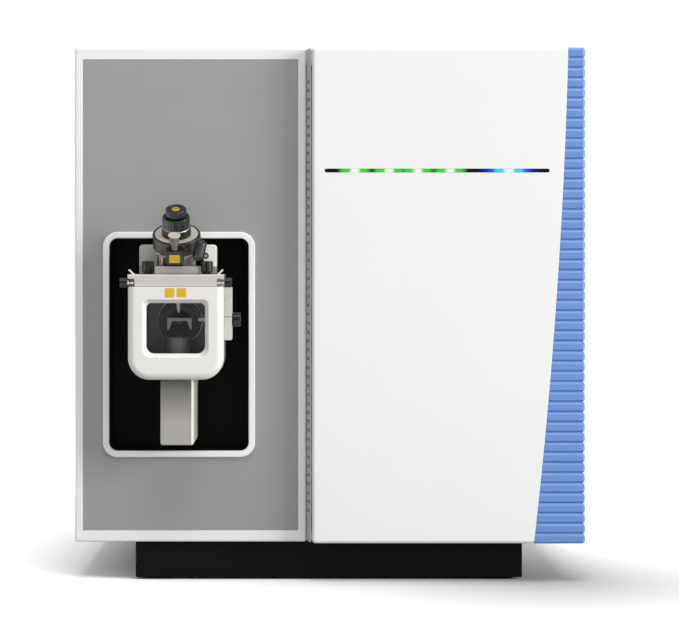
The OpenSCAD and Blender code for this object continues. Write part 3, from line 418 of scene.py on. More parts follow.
def finish(name, colour, roughness, grain_mm, relief_mm, spread, swing, patch_mm, sockets=None):
    """Surface with a fine grain in relief, broad patches of slightly different shade and uneven gloss."""
    material = bare_material(name)
    for socket, value in (sockets or {}).items():
        shader_of(material).inputs[socket].default_value = value
    where = add_node(material, "ShaderNodeTexCoord").outputs["Object"]
    grain = add_node(material, "ShaderNodeTexNoise", {"Scale": 1 / (grain_mm * MM), "Detail": 3},
                     {"Vector": where})
    patches = add_node(material, "ShaderNodeTexNoise", {"Scale": 1 / (patch_mm * MM), "Detail": 2},
                       {"Vector": where})
    dark, light = shades(tone(colour), spread)
    tint = add_node(material, "ShaderNodeMix", {"data_type": "RGBA", 6: dark, 7: light},
                    {"Factor": patches.outputs["Fac"]})
    gloss = add_node(material, "ShaderNodeMapRange",
                     {"To Min": roughness - swing, "To Max": roughness + swing},
                     {"Value": grain.outputs["Fac"]})
    relief = add_node(material, "ShaderNodeBump", {"Strength": 1, "Distance": relief_mm * MM},
                      {"Height": grain.outputs["Fac"]})
    link(material, tint.outputs[2], "Base Color")
    link(material, gloss.outputs["Result"], "Roughness")
    link(material, relief.outputs["Normal"], "Normal")
    return material


# ---- materials ----

# Each row gives the name, the colour as a hex code or a setting, the roughness, the grain and its relief,
# the spread of shade, the swing of gloss, the size of the patches and other sockets. Grain, relief and
# patches are in millimetres
FINISHES = {
    # Structural-foam ASA mouldings with a fine spark-eroded grain: an even, soft satin white
    "moulded_white_asa": ("Moulded white ASA", "shell_white", 0.42, 0.9, 0.006, 0.012, 0.05, 120),
    # Cast cover under warm white two-part enamel: smooth, slightly glossy, softly uneven
    "warm_white_casting": ("Warm white enamelled casting", "cover_white", 0.34, 2.5, 0.01, 0.015, 0.04, 30),
    # Polyester powder coat on sheet steel: faint orange peel, drawn a little coarse so that it shows
    "white_powder_coat": ("White powder coat", "shell_white", 0.45, 1.8, 0.012, 0.012, 0.05, 90),
    # Satin metallic-grey paint on sheet: soft broad sheen and faint clouding
    "grey_panel_paint": ("Satin grey panel paint", "panel_grey", 0.5, 1.2, 0.006, 0.02, 0.05, 45),
    # Moulded grey ABS strip, fine grained
    "grey_moulded_abs": ("Moulded grey ABS", "#B4B4B4", 0.5, 0.8, 0.006, 0.02, 0.06, 60),
    # Blue through-coloured ABS: satin, with a faint mould grain
    "blue_moulded_abs": ("Moulded blue ABS", "trim_blue", 0.38, 0.9, 0.006, 0.02, 0.05, 80),
    # Black fine-texture powder coat: matt, with tiny sparkle from its crinkle
    "black_powder_coat": ("Black textured powder coat", "#050505", 0.7, 1.1, 0.02, 0.1, 0.1, 60,
                          {"Specular IOR Level": 0.1}),
    # Glass-filled black nylon grips: satin with worn, slightly lighter skin
    "black_nylon": ("Moulded black nylon", "#0C0C0C", 0.3, 1.4, 0.012, 0.2, 0.1, 8,
                    {"Specular IOR Level": 0.4}),
    # Moulded rubber: matt and dead
    "black_rubber": ("Moulded black rubber", "#0C0C0C", 0.8, 1.0, 0.01, 0.1, 0.06, 60,
                     {"Specular IOR Level": 0.15}),
    # Turned beige acetal thumbscrew: soft, slightly waxy
    "beige_acetal": ("Turned beige acetal", "#BDB5A6", 0.4, 0.8, 0.006, 0.05, 0.06, 6),
    # Zinc-plated sheet: bright, with cloudy patches of passivation
    "zinc_plated_steel": ("Zinc-plated sheet steel", "#B4B6B8", 0.38, 6, 0.004, 0.08, 0.08, 25,
                          {"Metallic": 1.0}),
    # Turned stainless: fine tool marks blur its reflections
    "turned_stainless": ("Turned stainless steel", "#A9A7A2", 0.3, 0.5, 0.004, 0.06, 0.08, 14,
                         {"Metallic": 1.0}),
    # Bead-blasted aluminium casting: dull grey, with a pebbled skin
    "blasted_casting": ("Bead-blasted cast aluminium", "#918F8A", 0.55, 0.9, 0.02, 0.08, 0.1, 12,
                        {"Metallic": 0.6}),
    # Inlet disc: steel baked near-black by the hot gas
    "baked_steel": ("Baked black steel", "#343436", 0.55, 1.0, 0.01, 0.08, 0.08, 15, {"Metallic": 0.2}),
    # Drain cup: cast alloy dulled to mid grey
    "hot_cast_cup": ("Heat-dulled cast cup", "#767678", 0.55, 1.0, 0.01, 0.08, 0.08, 15, {"Metallic": 0.2}),
    # Milled aluminium block: pale, with soft cutter bloom
    "machined_aluminium": ("Milled aluminium", "#C9CACC", 0.36, 3, 0.004, 0.05, 0.08, 20, {"Metallic": 1.0}),
    # Vapour-dulled aluminium inside the chamber: mid grey, soft
    "dull_alloy": ("Vapour-dulled aluminium", "#B0B0B0", 0.6, 1.0, 0.01, 0.06, 0.08, 8, {"Metallic": 0.1}),
    # Satin stainless port: broad soft reflections
    "satin_stainless": ("Satin stainless port", "#A39C95", 0.34, 0.7, 0.006, 0.08, 0.1, 14,
                        {"Metallic": 0.65}),
    # Cast bar under the same warm enamel as the cover, painted a shade greyer: painted shade for its
    # downward-leaning face
    "band_enamel": ("Warm grey enamelled bar", "#D2CFCB", 0.36, 2.5, 0.01, 0.015, 0.04, 30),
    # Pale cast plate: light grey, faintly pebbled
    "pale_casting": ("Pale cast plate", "#BDBBB7", 0.5, 0.9, 0.012, 0.04, 0.08, 15, {"Metallic": 0.1}),
    # Satin nickel spray nozzle: light grey
    "spray_metal": ("Satin nickel nozzle", "#D4D2CE", 0.35, 0.5, 0.003, 0.04, 0.05, 4, {"Metallic": 0.15}),
    # Turned grey-brown acetal stem of the thumbscrew: satin
    "dark_acetal": ("Turned grey-brown acetal", "#6C655C", 0.4, 0.8, 0.006, 0.06, 0.06, 5),
    # Groove bottoms of the locking ring in a lighter brown-grey: a painted highlight that stands for the light
    # caught along the ribs' edges
    "worn_groove": ("Worn groove metal", "#8E8276", 0.45, 0.6, 0.008, 0.3, 0.1, 3, {"Metallic": 0.2}),
    # Dark hard-anodised aluminium: charcoal, low sheen
    "dark_anodised": ("Dark hard-anodised aluminium", "#545456", 0.5, 1.0, 0.01, 0.08, 0.08, 15,
                      {"Metallic": 0.2}),
    # Turned brass fittings, slightly tarnished
    "turned_brass": ("Turned brass", "#C8A25A", 0.32, 0.6, 0.005, 0.1, 0.08, 6, {"Metallic": 1.0}),
    # Gold-flashed contact
    "gold_contact": ("Gold-flashed contact", "#D8BC5A", 0.28, 0.5, 0.004, 0.06, 0.05, 3, {"Metallic": 1.0}),
    # Glass-epoxy board under green solder mask, with its weave just showing
    "coated_board": ("Solder-masked circuit board", "#1E5A38", 0.35, 1.0, 0.01, 0.15, 0.08, 5),
    # Printed polyester film in one plain yellow: smooth, semi-gloss
    "yellow_film": ("Yellow polyester film", "patch_yellow", 0.35, 2, 0.002, 0.03, 0.03, 8),
    # Glass-bead blasted aluminium seen close: pale grey with a speckle of tiny craters
    "blasted_face": ("Blasted ring face", "#B9B5AE", 0.6, 1.3, 0.05, 0.1, 0.1, 4, {"Metallic": 0.5}),
    # Cast duct under the source, with a painted shadow of the source cover that darkens it towards its top
    "duct_casting_painted_shadow": ("Heat-greyed cast duct", "#C4C1BA", 0.5, 0.9, 0.02, 0.08, 0.1, 12,
                        {"Metallic": 0.35}),
    # Borosilicate window with an anti-reflection coat, which its low index stands for
    "clear_pane": ("Clear borosilicate pane", "#FFFFFF", 0.03, 30, 0.0, 0.0, 0.01, 60,
                   {"Transmission Weight": 1.0, "IOR": 1.16, "Specular IOR Level": 0.2}),
    # Smoked matt polycarbonate light guide, which add_glow lights in front of its lamps
    "smoked_bar": ("Smoked polycarbonate", "#070708", 0.3, 4, 0.001, 0.1, 0.03, 60,
                   {"Specular IOR Level": 0.06}),
    # Moulded acrylic lens over a lit lamp: white-hot at its middle
    "lamp_lens": ("Lit acrylic lens", "#F4FFF0", 0.2, 1, 0.001, 0.02, 0.06, 60,
                  {"Emission Color": [*srgb("#F6FFF2"), 1], "Emission Strength": 1.0}),
}


def add_painted_duct_shadow(material):
    """Paints the shadow of the source cover on the duct: multiplies the colour of all but its slanting facet, by
    0.09 at its top rising to 0.57 from 55 mm down, and leaves that facet at its full colour.
    """
    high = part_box("drain_duct")[1]
    where = add_node(material, "ShaderNodeTexCoord").outputs["Object"]
    along = add_node(material, "ShaderNodeSeparateXYZ", links={"Vector": where})
    shadow_by_height = add_node(material, "ShaderNodeMapRange",
                     {"From Min": high.z, "From Max": high.z - 55 * MM, "To Min": 0.09, "To Max": 0.57},
                     {"Value": along.outputs["Z"]})
    face = add_node(material, "ShaderNodeMapRange",
                    {"From Min": high.x - 2.6 * MM, "From Max": high.x - 3.4 * MM},
                    {"Value": along.outputs["X"]})
    skin = shader_of(material).inputs["Base Color"].links[0].from_socket
    painted_shadow = add_node(material, "ShaderNodeMix", {"data_type": "RGBA", "blend_type": "MULTIPLY"},
                     {"Factor": face.outputs[0], 6: skin, 7: shadow_by_height.outputs[0]})
    link(material, painted_shadow.outputs[2], "Base Color")


# Lamps along the bar and the reach of their glow, in millimetres, from the bar's middle
LAMP_OFFSETS = (-107.1, -62.4, -25.4, 17.0)
LAMP_REACH = 26
CYAN_OFFSET = 93.5
CYAN_REACH = 42


def glow(material, along, middle, offsets, reach_mm):
    """Socket that falls from 1 at each lamp to 0 at the glow's reach, along X."""
    total = None
    for offset in offsets:
        away = add_node(material, "ShaderNodeMath", {"operation": "SUBTRACT", 1: middle + offset * MM},
                        {0: along})
        size = add_node(material, "ShaderNodeMath", {"operation": "ABSOLUTE"}, {0: away.outputs[0]})
        fall = add_node(material, "ShaderNodeMapRange", {"From Max": reach_mm * MM, "To Min": 1, "To Max": 0},
                        {"Value": size.outputs[0]})
        if total is None:
            total = fall.outputs["Result"]
        else:
            total = add_node(material, "ShaderNodeMath", {"operation": "MAXIMUM"},
                             {0: total, 1: fall.outputs["Result"]}).outputs[0]
    return total


def ramp(material, source, stops):
    """Colour ramp through (place, linear colour) stops."""
    node = add_node(material, "ShaderNodeValToRGB", links={"Fac": source})
    elements = node.color_ramp.elements
    while len(elements) < len(stops):
        elements.new(0.5)
    for element, (spot, colour) in zip(elements, stops):
        element.position = spot
        element.color = [*colour[:3], 1]
    return node.outputs["Color"]


def add_glow(material):
    """Lights the bar's front round each lamp behind it, and keeps the door's inner side dark."""
    low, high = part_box("light_bar")
    where = add_node(material, "ShaderNodeTexCoord").outputs["Object"]
    spot = add_node(material, "ShaderNodeSeparateXYZ", links={"Vector": where})
    along, middle = spot.outputs["X"], (low.x + high.x) / 2
    colours = settings("colours")
    white, black = (1, 1, 1), (0, 0, 0)
    green = ramp(material, glow(material, along, middle, LAMP_OFFSETS, LAMP_REACH),
                 [(0.0, black), (0.12, black), (0.42, [0.9 * c for c in colours.lamp_green]),
                  (0.72, colours.lamp_green), (0.86, srgb("#E8FFDC")), (1.0, white)])
    cyan = ramp(material, glow(material, along, middle, [CYAN_OFFSET], CYAN_REACH),
                [(0.0, black), (0.1, srgb("#06063C")), (0.3, srgb("#1414C8")), (0.5, srgb("#2A62F0")),
                 (0.62, colours.lamp_cyan), (0.8, colours.lamp_cyan), (0.92, srgb("#E4FFFF"))])
    both = add_node(material, "ShaderNodeMix", {"data_type": "RGBA", "blend_type": "LIGHTEN", "Factor": 1.0},
                    {6: green, 7: cyan})
    front = add_node(material, "ShaderNodeMapRange",
                     {"From Min": low.y + 1.2 * MM, "From Max": low.y + 0.8 * MM},
                     {"Value": spot.outputs["Y"]})
    lit = add_node(material, "ShaderNodeMix", {"data_type": "RGBA", "blend_type": "MULTIPLY", "Factor": 1.0},
                   {6: both.outputs[2], 7: front.outputs[0]})
    link(material, lit.outputs[2], "Emission Color")
    shader_of(material).inputs["Emission Strength"].default_value = 1.0


# What a kind has besides its row
ADDITIONS = {"duct_casting_painted_shadow": add_painted_duct_shadow, "smoked_bar": add_glow}
made_materials = {}


def finished(kind):
    """The material of one row of the table, made once."""
    if kind not in made_materials:
        made_materials[kind] = finish(*FINISHES[kind])
        if kind in ADDITIONS:
            ADDITIONS[kind](made_materials[kind])
    return made_materials[kind]
# The finish of each material slot of the frame
SLOT_FINISHES = {
    "white_enamel": "white_powder_coat", "grey_enamel": "grey_panel_paint",
    "black_enamel": "black_powder_coat", "grey_moulding": "grey_moulded_abs",
    "white_moulding": "moulded_white_asa", "blue_moulding": "blue_moulded_abs",
    "black_moulding": "black_nylon", "smoked_lens": "smoked_bar", "lit_lens": "lamp_lens",
    "window_pane": "clear_pane", "zinc_steel": "zinc_plated_steel", "stainless": "turned_stainless",
    "cast_alloy": "blasted_casting", "dark_alloy": "dark_anodised",
    "machined_alloy": "machined_aluminium", "warm_plastic": "beige_acetal",
    "brass_fitting": "turned_brass", "board_green": "coated_board", "rubber_black": "black_rubber",
}


# ---- cabinet ----

class SPECTRO_OT_left_frame(bpy.types.Operator):
    """Moulded white frame round the left front"""
    bl_idname = "spectro.left_frame"
    bl_label = "Left frame"

    def execute(self, context):
        sizes = context.scene.cabinet
        piece = rounded_block("white_left_frame", front_low, front_high, 3 * MM)
        inset = Vector((sizes.band_width, 0, sizes.band_height))
        ease(piece, sizes.frame_edge, 4)
        through = Vector((0, 1, 0))
        cut(piece, block("opening", front_low + inset - through, front_high - inset + through))
        ease(piece, 0.7 * MM)
        hand_over(piece, "moulded_white_asa", "white_moulding", "root", "left_fascia")
        return {"FINISHED"}


class SPECTRO_OT_recess(bpy.types.Operator):
    """Raised white ring round the source recess, and the black tray behind it"""
    bl_idname = "spectro.recess"
    bl_label = "Recess"

    def execute(self, context):
        sizes = context.scene.cabinet
        low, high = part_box("source_bezel")
        inset = Vector((sizes.ring_width, 0, sizes.ring_width))
        reach = Vector((0, 0.1, 0))
        ring = rounded_block("recess_ring", low, high, sizes.recess_corner + sizes.ring_width, steps=12)
        cut(ring, rounded_block(
            "hole", low + inset - reach, high - inset + reach, sizes.recess_corner, steps=12))
        bevel_edges(ring, 2.4 * MM, 4, lambda edge: at(edge, Y, low.y) and not runs_along(edge, Y))
        hand_over(ring, "moulded_white_asa", "white_moulding", "root", "source_bezel")
        tray = refined_copy("source_well", "recess_tray", 0.8 * MM, 2, 60)
        hand_over(tray, "black_powder_coat", "black_enamel", "root", "source_well")
        return {"FINISHED"}


class SPECTRO_OT_plinth(bpy.types.Operator):
    """Folded black plinth with eased edges"""
    bl_idname = "spectro.plinth"
    bl_label = "Plinth"

    def execute(self, context):
        piece = refined_copy("base_plinth", "black_plinth", 0.9 * MM)
        hand_over(piece, "black_powder_coat", "black_enamel", "root", "base_plinth")
        return {"FINISHED"}


# ---- door ----

# How far the long arc falls back between its furthest point to the right and the door's top
ARC_FALL = 2.1 * MM
# Room between the trim and the white moulding behind it, and how far each one's curved edge is moved,
# which leaves a dark line of 0.3 mm between them
TRIM_ROOM = 0.3 * MM
DOOR_EDGE_SHIFT = -0.2 * MM
TRIM_EDGE_SHIFT = 0.1 * MM


def arc_x(z):
    """X of the long curved edge between the white face and the blue trim, at a height."""
    sizes = settings("door")
    centre_x = door_high.x - sizes.trim_top + ARC_FALL - sizes.arc_radius
    centre_z = door_high.z + sizes.arc_rise
    return centre_x + sqrt(sizes.arc_radius ** 2 - (z - centre_z) ** 2)


def arc_block(name, far_x, low_y, high_y, shift, steps=28):
    """Block from far_x to the curved edge, sliced across and each slice moved to the curve."""
    margin = 3 * MM
    low_z, high_z = door_low.z - margin, door_high.z + margin
    edge_x = arc_x(high_z)
    piece = block(name, (min(far_x, edge_x), low_y, low_z), (max(far_x, edge_x), high_y, high_z))
    heights = [low_z + (high_z - low_z) * i / steps for i in range(steps + 1)]
    for height in heights[1:-1]:
        slice_at(piece, Z, height)
    for height in heights:
        pick(piece, "verts", lambda v: abs(v.co.z - height) < NEAR and abs(v.co.x - edge_x) < NEAR)
        bpy.ops.transform.translate(value=(arc_x(height) + shift - edge_x, 0, 0))
    settle()
    return piece


class SPECTRO_OT_door(bpy.types.Operator):
    """Moulded white door: rounded edges, a step for the trim and a slot for the light bar"""
    bl_idname = "spectro.door"
    bl_label = "Door"

    def execute(self, context):
        sizes = context.scene.door
        lap = sizes.trim_thickness + TRIM_ROOM
        low = Vector((door_left, door_low.y, door_low.z))
        high = Vector((door_high.x - lap, door_high.y, door_high.z))
        piece = block("white_door", low, high)
        bevel_edges(piece, sizes.edge, 6, lambda e: (at(e, Y, low.y) and not at(e, X, high.x))
                    or (runs_along(e, Y) and at(e, X, low.x)))
        cut(piece, arc_block("step", door_high.x + 0.05, low.y - 0.05, low.y + lap, DOOR_EDGE_SHIFT))
        wall = Vector((sizes.wall, 0, sizes.wall))
        cut(piece, block("hollow", low + wall + Vector((0, lap + sizes.wall, 0)),
                         high - wall + Vector((0, 0.05, 0))))
        bar_low, bar_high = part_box("light_bar")
        gap = Vector((0.2, 0, 0.2)) * MM
        slot = rounded_block("slot", bar_low - gap - Vector((0, 0.01, 0)),
                             bar_high + gap + Vector((0, 0.02, 0)), (bar_high.z - bar_low.z) / 2)
        cut(piece, slot)
        ease(piece, 0.5 * MM, 2, 50)
        hand_over(piece, "moulded_white_asa", "white_moulding", "door", "door_shell", angle=25)
        return {"FINISHED"}


class SPECTRO_OT_trim(bpy.types.Operator):
    """Ribbed blue trim: one rib is shaped, repeated up the door and cut to the long curve"""
    bl_idname = "spectro.trim"
    bl_label = "Ribbed trim"

    def execute(self, context):
        sizes = context.scene.door
        span = 90 * MM
        pitch = (door_high.z - door_low.z) / sizes.ribs
        low = Vector((door_high.x - span, door_low.y, door_low.z))
        high = Vector((door_high.x, door_high.y, door_low.z + pitch))
        rib = block("ribbed_side_trim", low, high)
        bevel_edges(rib, 4 * MM, 5, lambda e: runs_along(e, Z) and at(e, X, high.x) and at(e, Y, low.y))
        # Each rib has a long slope on top, a flat face and a short undercut below
        slope, undercut, inset = 3.6 * MM, 2.2 * MM, 2 * MM
        slice_at(rib, Z, low.z + undercut)
        slice_at(rib, Z, high.z - slope)
        for height in (low.z, high.z):
            pick(rib, "verts", lambda v: abs(v.co.z - height) < NEAR)
            bpy.ops.transform.resize(
                value=(1 - inset / span, 1 - inset / (high.y - low.y), 1),
                center_override=(low.x, high.y, height))
            settle()
        return self.repeat(rib, sizes, low, high, pitch)

    def repeat(self, rib, sizes, low, high, pitch):
        """Stacks the rib, hollows the stack and cuts it to the curve."""
        pick(rib, "faces", lambda face: abs(face.normal.z) > 0.99)
        bpy.ops.mesh.delete(type="FACE")
        settle()
        apply_modifier(rib, "ARRAY", count=sizes.ribs, use_relative_offset=False,
                       use_constant_offset=True, constant_offset_displace=(0, 0, pitch),
                       use_merge_vertices=True, merge_threshold=0.01 * MM)
        pick(rib, "edges", lambda edge: edge.is_boundary)
        bpy.ops.mesh.fill_holes(sides=0)
        bpy.ops.mesh.select_all(action="SELECT")
        bpy.ops.mesh.normals_make_consistent(inside=False)
        settle()
        outline = rounded_block("outline", (high.x - 0.2, low.y - 0.01, low.z),
                                (high.x, high.y + 0.01, door_high.z), 4 * MM)
        apply_modifier(rib, "BOOLEAN", object=outline, operation="INTERSECT", solver="EXACT")
        bpy.data.objects.remove(outline)
        thick = sizes.trim_thickness
        cut(rib, block("hollow", (low.x - 0.01, low.y + thick, low.z - 0.01),
                       (high.x - thick, high.y + 0.01, door_high.z + 0.01)))
        cut(rib, arc_block("white_side", low.x - 0.02, low.y - 0.05, low.y + thick + 0.01,
                           TRIM_EDGE_SHIFT))
        hand_over(rib, "blue_moulded_abs", "blue_moulding", "door", "side_trim", angle=25)
        return {"FINISHED"}


class SPECTRO_OT_light_bar(bpy.types.Operator):
    """Smoked light bar with rounded ends, and the five lamps in it"""
    bl_idname = "spectro.light_bar"
    bl_label = "Light bar"

    def execute(self, context):
        low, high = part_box("light_bar")
        radius = (high.z - low.z) / 2 - 0.02 * MM
        bar = rounded_block("smoked_light_bar", low, high, radius, steps=10)
        ease(bar, 0.4 * MM, 3, 60)
        hand_over(bar, "smoked_bar", "smoked_lens", "door", "light_bar")
        middle = (low + high) / 2
        lenses = []
        for offset in (*LAMP_OFFSETS, CYAN_OFFSET):
            lens = turned("lens", in_mm(((1.3, -2), (1.3, 0), (1.0, 0.12), (0.5, 0.2))), 24)
            spot = (middle.x + offset * MM, low.y, middle.z)
            lenses.append(place(lens, spot, (pi / 2, 0, 0)))
        lamps = join(lenses[0], *lenses[1:])
        lamps.name = "status_lamps"
        hand_over(lamps, "lamp_lens", "lit_lens", "door", "status_lights")
        return {"FINISHED"}


# ---- ion source ----

class SPECTRO_OT_source_cover(bpy.types.Operator):
    """White source cover with soft edges and a bevelled window opening"""
    bl_idname = "spectro.source_cover"
    bl_label = "Source cover"

    def execute(self, context):
        sizes = context.scene.source
        low, high = cover_low, cover_high
        piece = block("white_source_cover", low, high)
        bevel_edges(piece, sizes.foot_radius, 16, lambda e: runs_along(e, Y) and at(e, Z, low.z))
        bevel_edges(piece, sizes.edge, 7, lambda e: at(e, Y, low.y) and not at(e, Z, high.z))
        wall = 4 * MM
        inner = block("inside", (low.x + wall, low.y + 7 * MM, low.z + wall),
                      (high.x - wall, high.y + 0.01, high.z - wall))
        bevel_edges(inner, sizes.foot_radius - wall, 12,
                    lambda e: runs_along(e, Y) and at(e, Z, low.z + wall))
        cut(piece, inner)
        cut(piece, self.window_cutter(sizes, low.y))
        ease(piece, 0.6 * MM, 2, 35)
        hand_over(piece, "warm_white_casting", "white_moulding", "source", "source_cover", angle=30)
        return {"FINISHED"}

    def window_cutter(self, sizes, face):
        """Rounded opening that flares towards the front."""
        pane_low, pane_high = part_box("window_glass")
        mid_z = (pane_low.z + pane_high.z) / 2
        half_w, half_h = sizes.window_width / 2, sizes.window_height / 2
        flare, depth = 4.8 * MM, 5.8 * MM
        cutter = block("window", (SOURCE_X - half_w, face - 4 * MM, mid_z - half_h),
                       (SOURCE_X + half_w, face + 20 * MM, mid_z + half_h))
        bevel_edges(cutter, 10 * MM, 8, lambda e: runs_along(e, Y) and at(e, Z, mid_z - half_h))
        bevel_edges(cutter, 6 * MM, 8, lambda e: runs_along(e, Y) and at(e, Z, mid_z + half_h))
        slice_at(cutter, Y, face + depth)
        slice_at(cutter, Y, face)
        pick(cutter, "verts", lambda v: v.co.y < face + NEAR)
        bpy.ops.transform.resize(value=(1 + flare / half_w, 1, 1 + flare / half_h),
                                 center_override=(SOURCE_X, face, mid_z))
        settle()
        return cutter


class SPECTRO_OT_cover_band(bpy.types.Operator):
    """Cross bar above the cover, notched at both ends, with two wire clips and two plain patches below"""
    bl_idname = "spectro.cover_band"
    bl_label = "Cover band"

    def execute(self, context):
        low, high = band_low.copy(), band_high.copy()
        low.x, high.x, high.z = cover_low.x, cover_high.x, SOURCE_TOP
        band = block("white_cover_band", low, high)
        pick(band, "verts", lambda v: v.co.y < low.y + NEAR and v.co.z < low.z + NEAR)
        bpy.ops.transform.translate(value=(0, 3.4 * MM, 0))
        bevel_edges(band, 2.2 * MM, 6, lambda e: at(e, Y, low.y) and at(e, Z, high.z))
        screw_low, screw_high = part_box("side_screw_left")
        screw_z = (screw_low.z + screw_high.z) / 2
        for side, end in ((1, low.x), (-1, high.x)):
            notch = sorted((end - side * MM, end + side * 8.6 * MM))
            cut(band, block("notch", (notch[0], low.y - 0.01, screw_z - 5.6 * MM),
                            (notch[1], high.y - 8 * MM, screw_z + 4.8 * MM)))
        ease(band, 0.5 * MM, 2, 45)
        # The bar's finish is the cover's enamel in painted shade
        hand_over(band, "band_enamel", "white_moulding", "source", "cover_band", angle=30)
        self.clips(low, high)
        self.patches()
        return {"FINISHED"}

    def clips(self, low, high):
        """Bent white wires that stand up at the band's ends."""
        for side, end in ((-1, low.x), (1, high.x)):
            foot = Vector((end - side * 8.3 * MM, low.y + 11 * MM, SOURCE_TOP - 1 * MM))
            wire = turned("wire_clip_left" if side < 0 else "wire_clip_right",
                          in_mm(((1.1, 0), (1.15, 9.2), (0.9, 10), (0.4, 10.3))), 20)
            place(wire, foot, (0, side * radians(47), 0))
            hand_over(wire, "warm_white_casting", "white_moulding", "source")

    def patches(self):
        """Two plain square fields of film on the cover, above the window."""
        for number, middle in ((1, -7.5), (2, 7.5)):
            spot = Vector((SOURCE_X + middle * MM, cover_low.y, SOURCE_TOP - 23.4 * MM))
            size = Vector((6.2, 0, 5.9)) * MM
            patch = rounded_block(f"yellow_patch_{number}", spot - size - Vector((0, 0.12, 0)) * MM,
                                  spot + size + Vector((0, 0.3, 0)) * MM, 0.8 * MM, steps=3)
            hand_over(patch, "yellow_film", "white_moulding", "source")


class SPECTRO_OT_window(bpy.types.Operator):
    """Clear pane behind the cover's opening"""
    bl_idname = "spectro.window"
    bl_label = "Window"

    def execute(self, context):
        low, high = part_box("window_glass")
        piece = rounded_block("clear_window", low, high, 9 * MM)
        ease(piece, 0.4 * MM)
        hand_over(piece, "clear_pane", "window_pane", "source", "window_glass")
        return {"FINISHED"}


class SPECTRO_OT_top_block(bpy.types.Operator):
    """Cast seat under the probe and the two towers beside it"""
    bl_idname = "spectro.top_block"
    bl_label = "Top block"

    def execute(self, context):
        low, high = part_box("top_block")
        deck = SOURCE_TOP + 10.7 * MM
        seat = block("probe_seat", (SOURCE_X - 27 * MM, cover_low.y + 8 * MM, SOURCE_TOP),
                     (SOURCE_X + 29 * MM, FRONT - 30 * MM, deck))
        back = block("deck", (low.x, FRONT - 34 * MM, SOURCE_TOP), (high.x, high.y, deck - 0.5 * MM))
        ease(seat, 0.8 * MM)
        ease(back, 0.8 * MM)
        join(seat, back)
        hand_over(seat, "blasted_casting", "cast_alloy", "source", "top_block")
        # Sides from the source's middle and front faces from the cabinet's front, in millimetres
        for name, left, right, front in (("left_tower", -50, -25.5, -35), ("right_tower", 33, 50, -25)):
            tower = block(name, (SOURCE_X + left * MM, FRONT + front * MM, deck - 1 * MM),
                          (SOURCE_X + right * MM, high.y, high.z))
            bevel_edges(tower, 4.5 * MM, 5, lambda e: runs_along(e, Y) and at(e, Z, high.z))
            ease(tower, 1.2 * MM, 3, 40)
            skin = "blasted_casting" if name == "left_tower" else "warm_white_casting"
            hand_over(tower, skin, "cast_alloy", "source", "top_block")
        return {"FINISHED"}


class SPECTRO_OT_lock_ring(bpy.types.Operator):
    """Knurled black locking ring, and the pale floors in its grooves, a painted highlight"""
    bl_idname = "spectro.lock_ring"
    bl_label = "Locking ring"

    def execute(self, context):
        grooves = context.scene.source.ring_flutes
        outer, tall, pitch = 31, 18.5, 2.7  # millimetres, as in the profile
        profile = [(outer - 1.2, -tall), (outer - 0.2, -tall + 0.9)]
        for step in range(6):
            height = -tall + 1.9 + step * pitch
            profile += [(outer, height - 0.5), (outer, height), (outer - 1.1, height + 0.4),
                        (outer - 1.1, height + 0.9), (outer, height + 1.3)]
        profile += [(outer, -1.0), (outer - 0.9, 0)]
        ring = turned("knurled_lock_ring", in_mm(profile), grooves * 4)
        flute(ring, grooves, 0.2 * MM, outer * MM, (-tall + 1) * MM, -0.9 * MM, 0.5)
        cut(ring, rod("bore", (0, 0, -0.03), (0, 0, 0.01), 28.05 * MM, 96))
        on_probe(ring)
        hand_over(ring, "black_nylon", "black_moulding", "ring", "lock_ring", angle=30)
        # Pale hoops in the grooves: painted highlight lines along the ring's ribs
        hoops = []
        for step in range(6):
            middle = (-tall + 2.55 + step * pitch) * MM
            inner_r, outer_r = (outer - 1.05) * MM, (outer - 0.35) * MM
            hoops.append(turned("groove_floor", [
                (inner_r, middle - 0.5 * MM), (outer_r, middle - 0.2 * MM),
                (outer_r, middle + 0.25 * MM), (inner_r, middle + 0.5 * MM)], 96))
        floors = join(hoops[0], *hoops[1:])
        floors.name = "ring_groove_floors"
        on_probe(floors)
        hand_over(floors, "worn_groove", "black_moulding", "ring", angle=30)
        return {"FINISHED"}


class SPECTRO_OT_probe_port(bpy.types.Operator):
    """Leaning port: neck cut level at its seat, flange, and the head inside the ring"""
    bl_idname = "spectro.probe_port"
    bl_label = "Probe port"

    def execute(self, context):
        port = refined_copy("probe_port", "leaning_port", 0)
        hand_over(port, "satin_stainless", "stainless", "source", "probe_port", angle=35)
        face = turned("blasted_ring_face", [(r * MM, h * MM) for r, h in
                                            ((27.9, -1.2), (27.9, -0.5), (27.6, -0.3), (19, -0.3))], 96)
        cut(face, rod("bore", (0, 0, -0.01), (0, 0, 0.01), 18.9 * MM, 96))
        on_probe(face)
        hand_over(face, "blasted_face", "cast_alloy", "source")
        return {"FINISHED"}


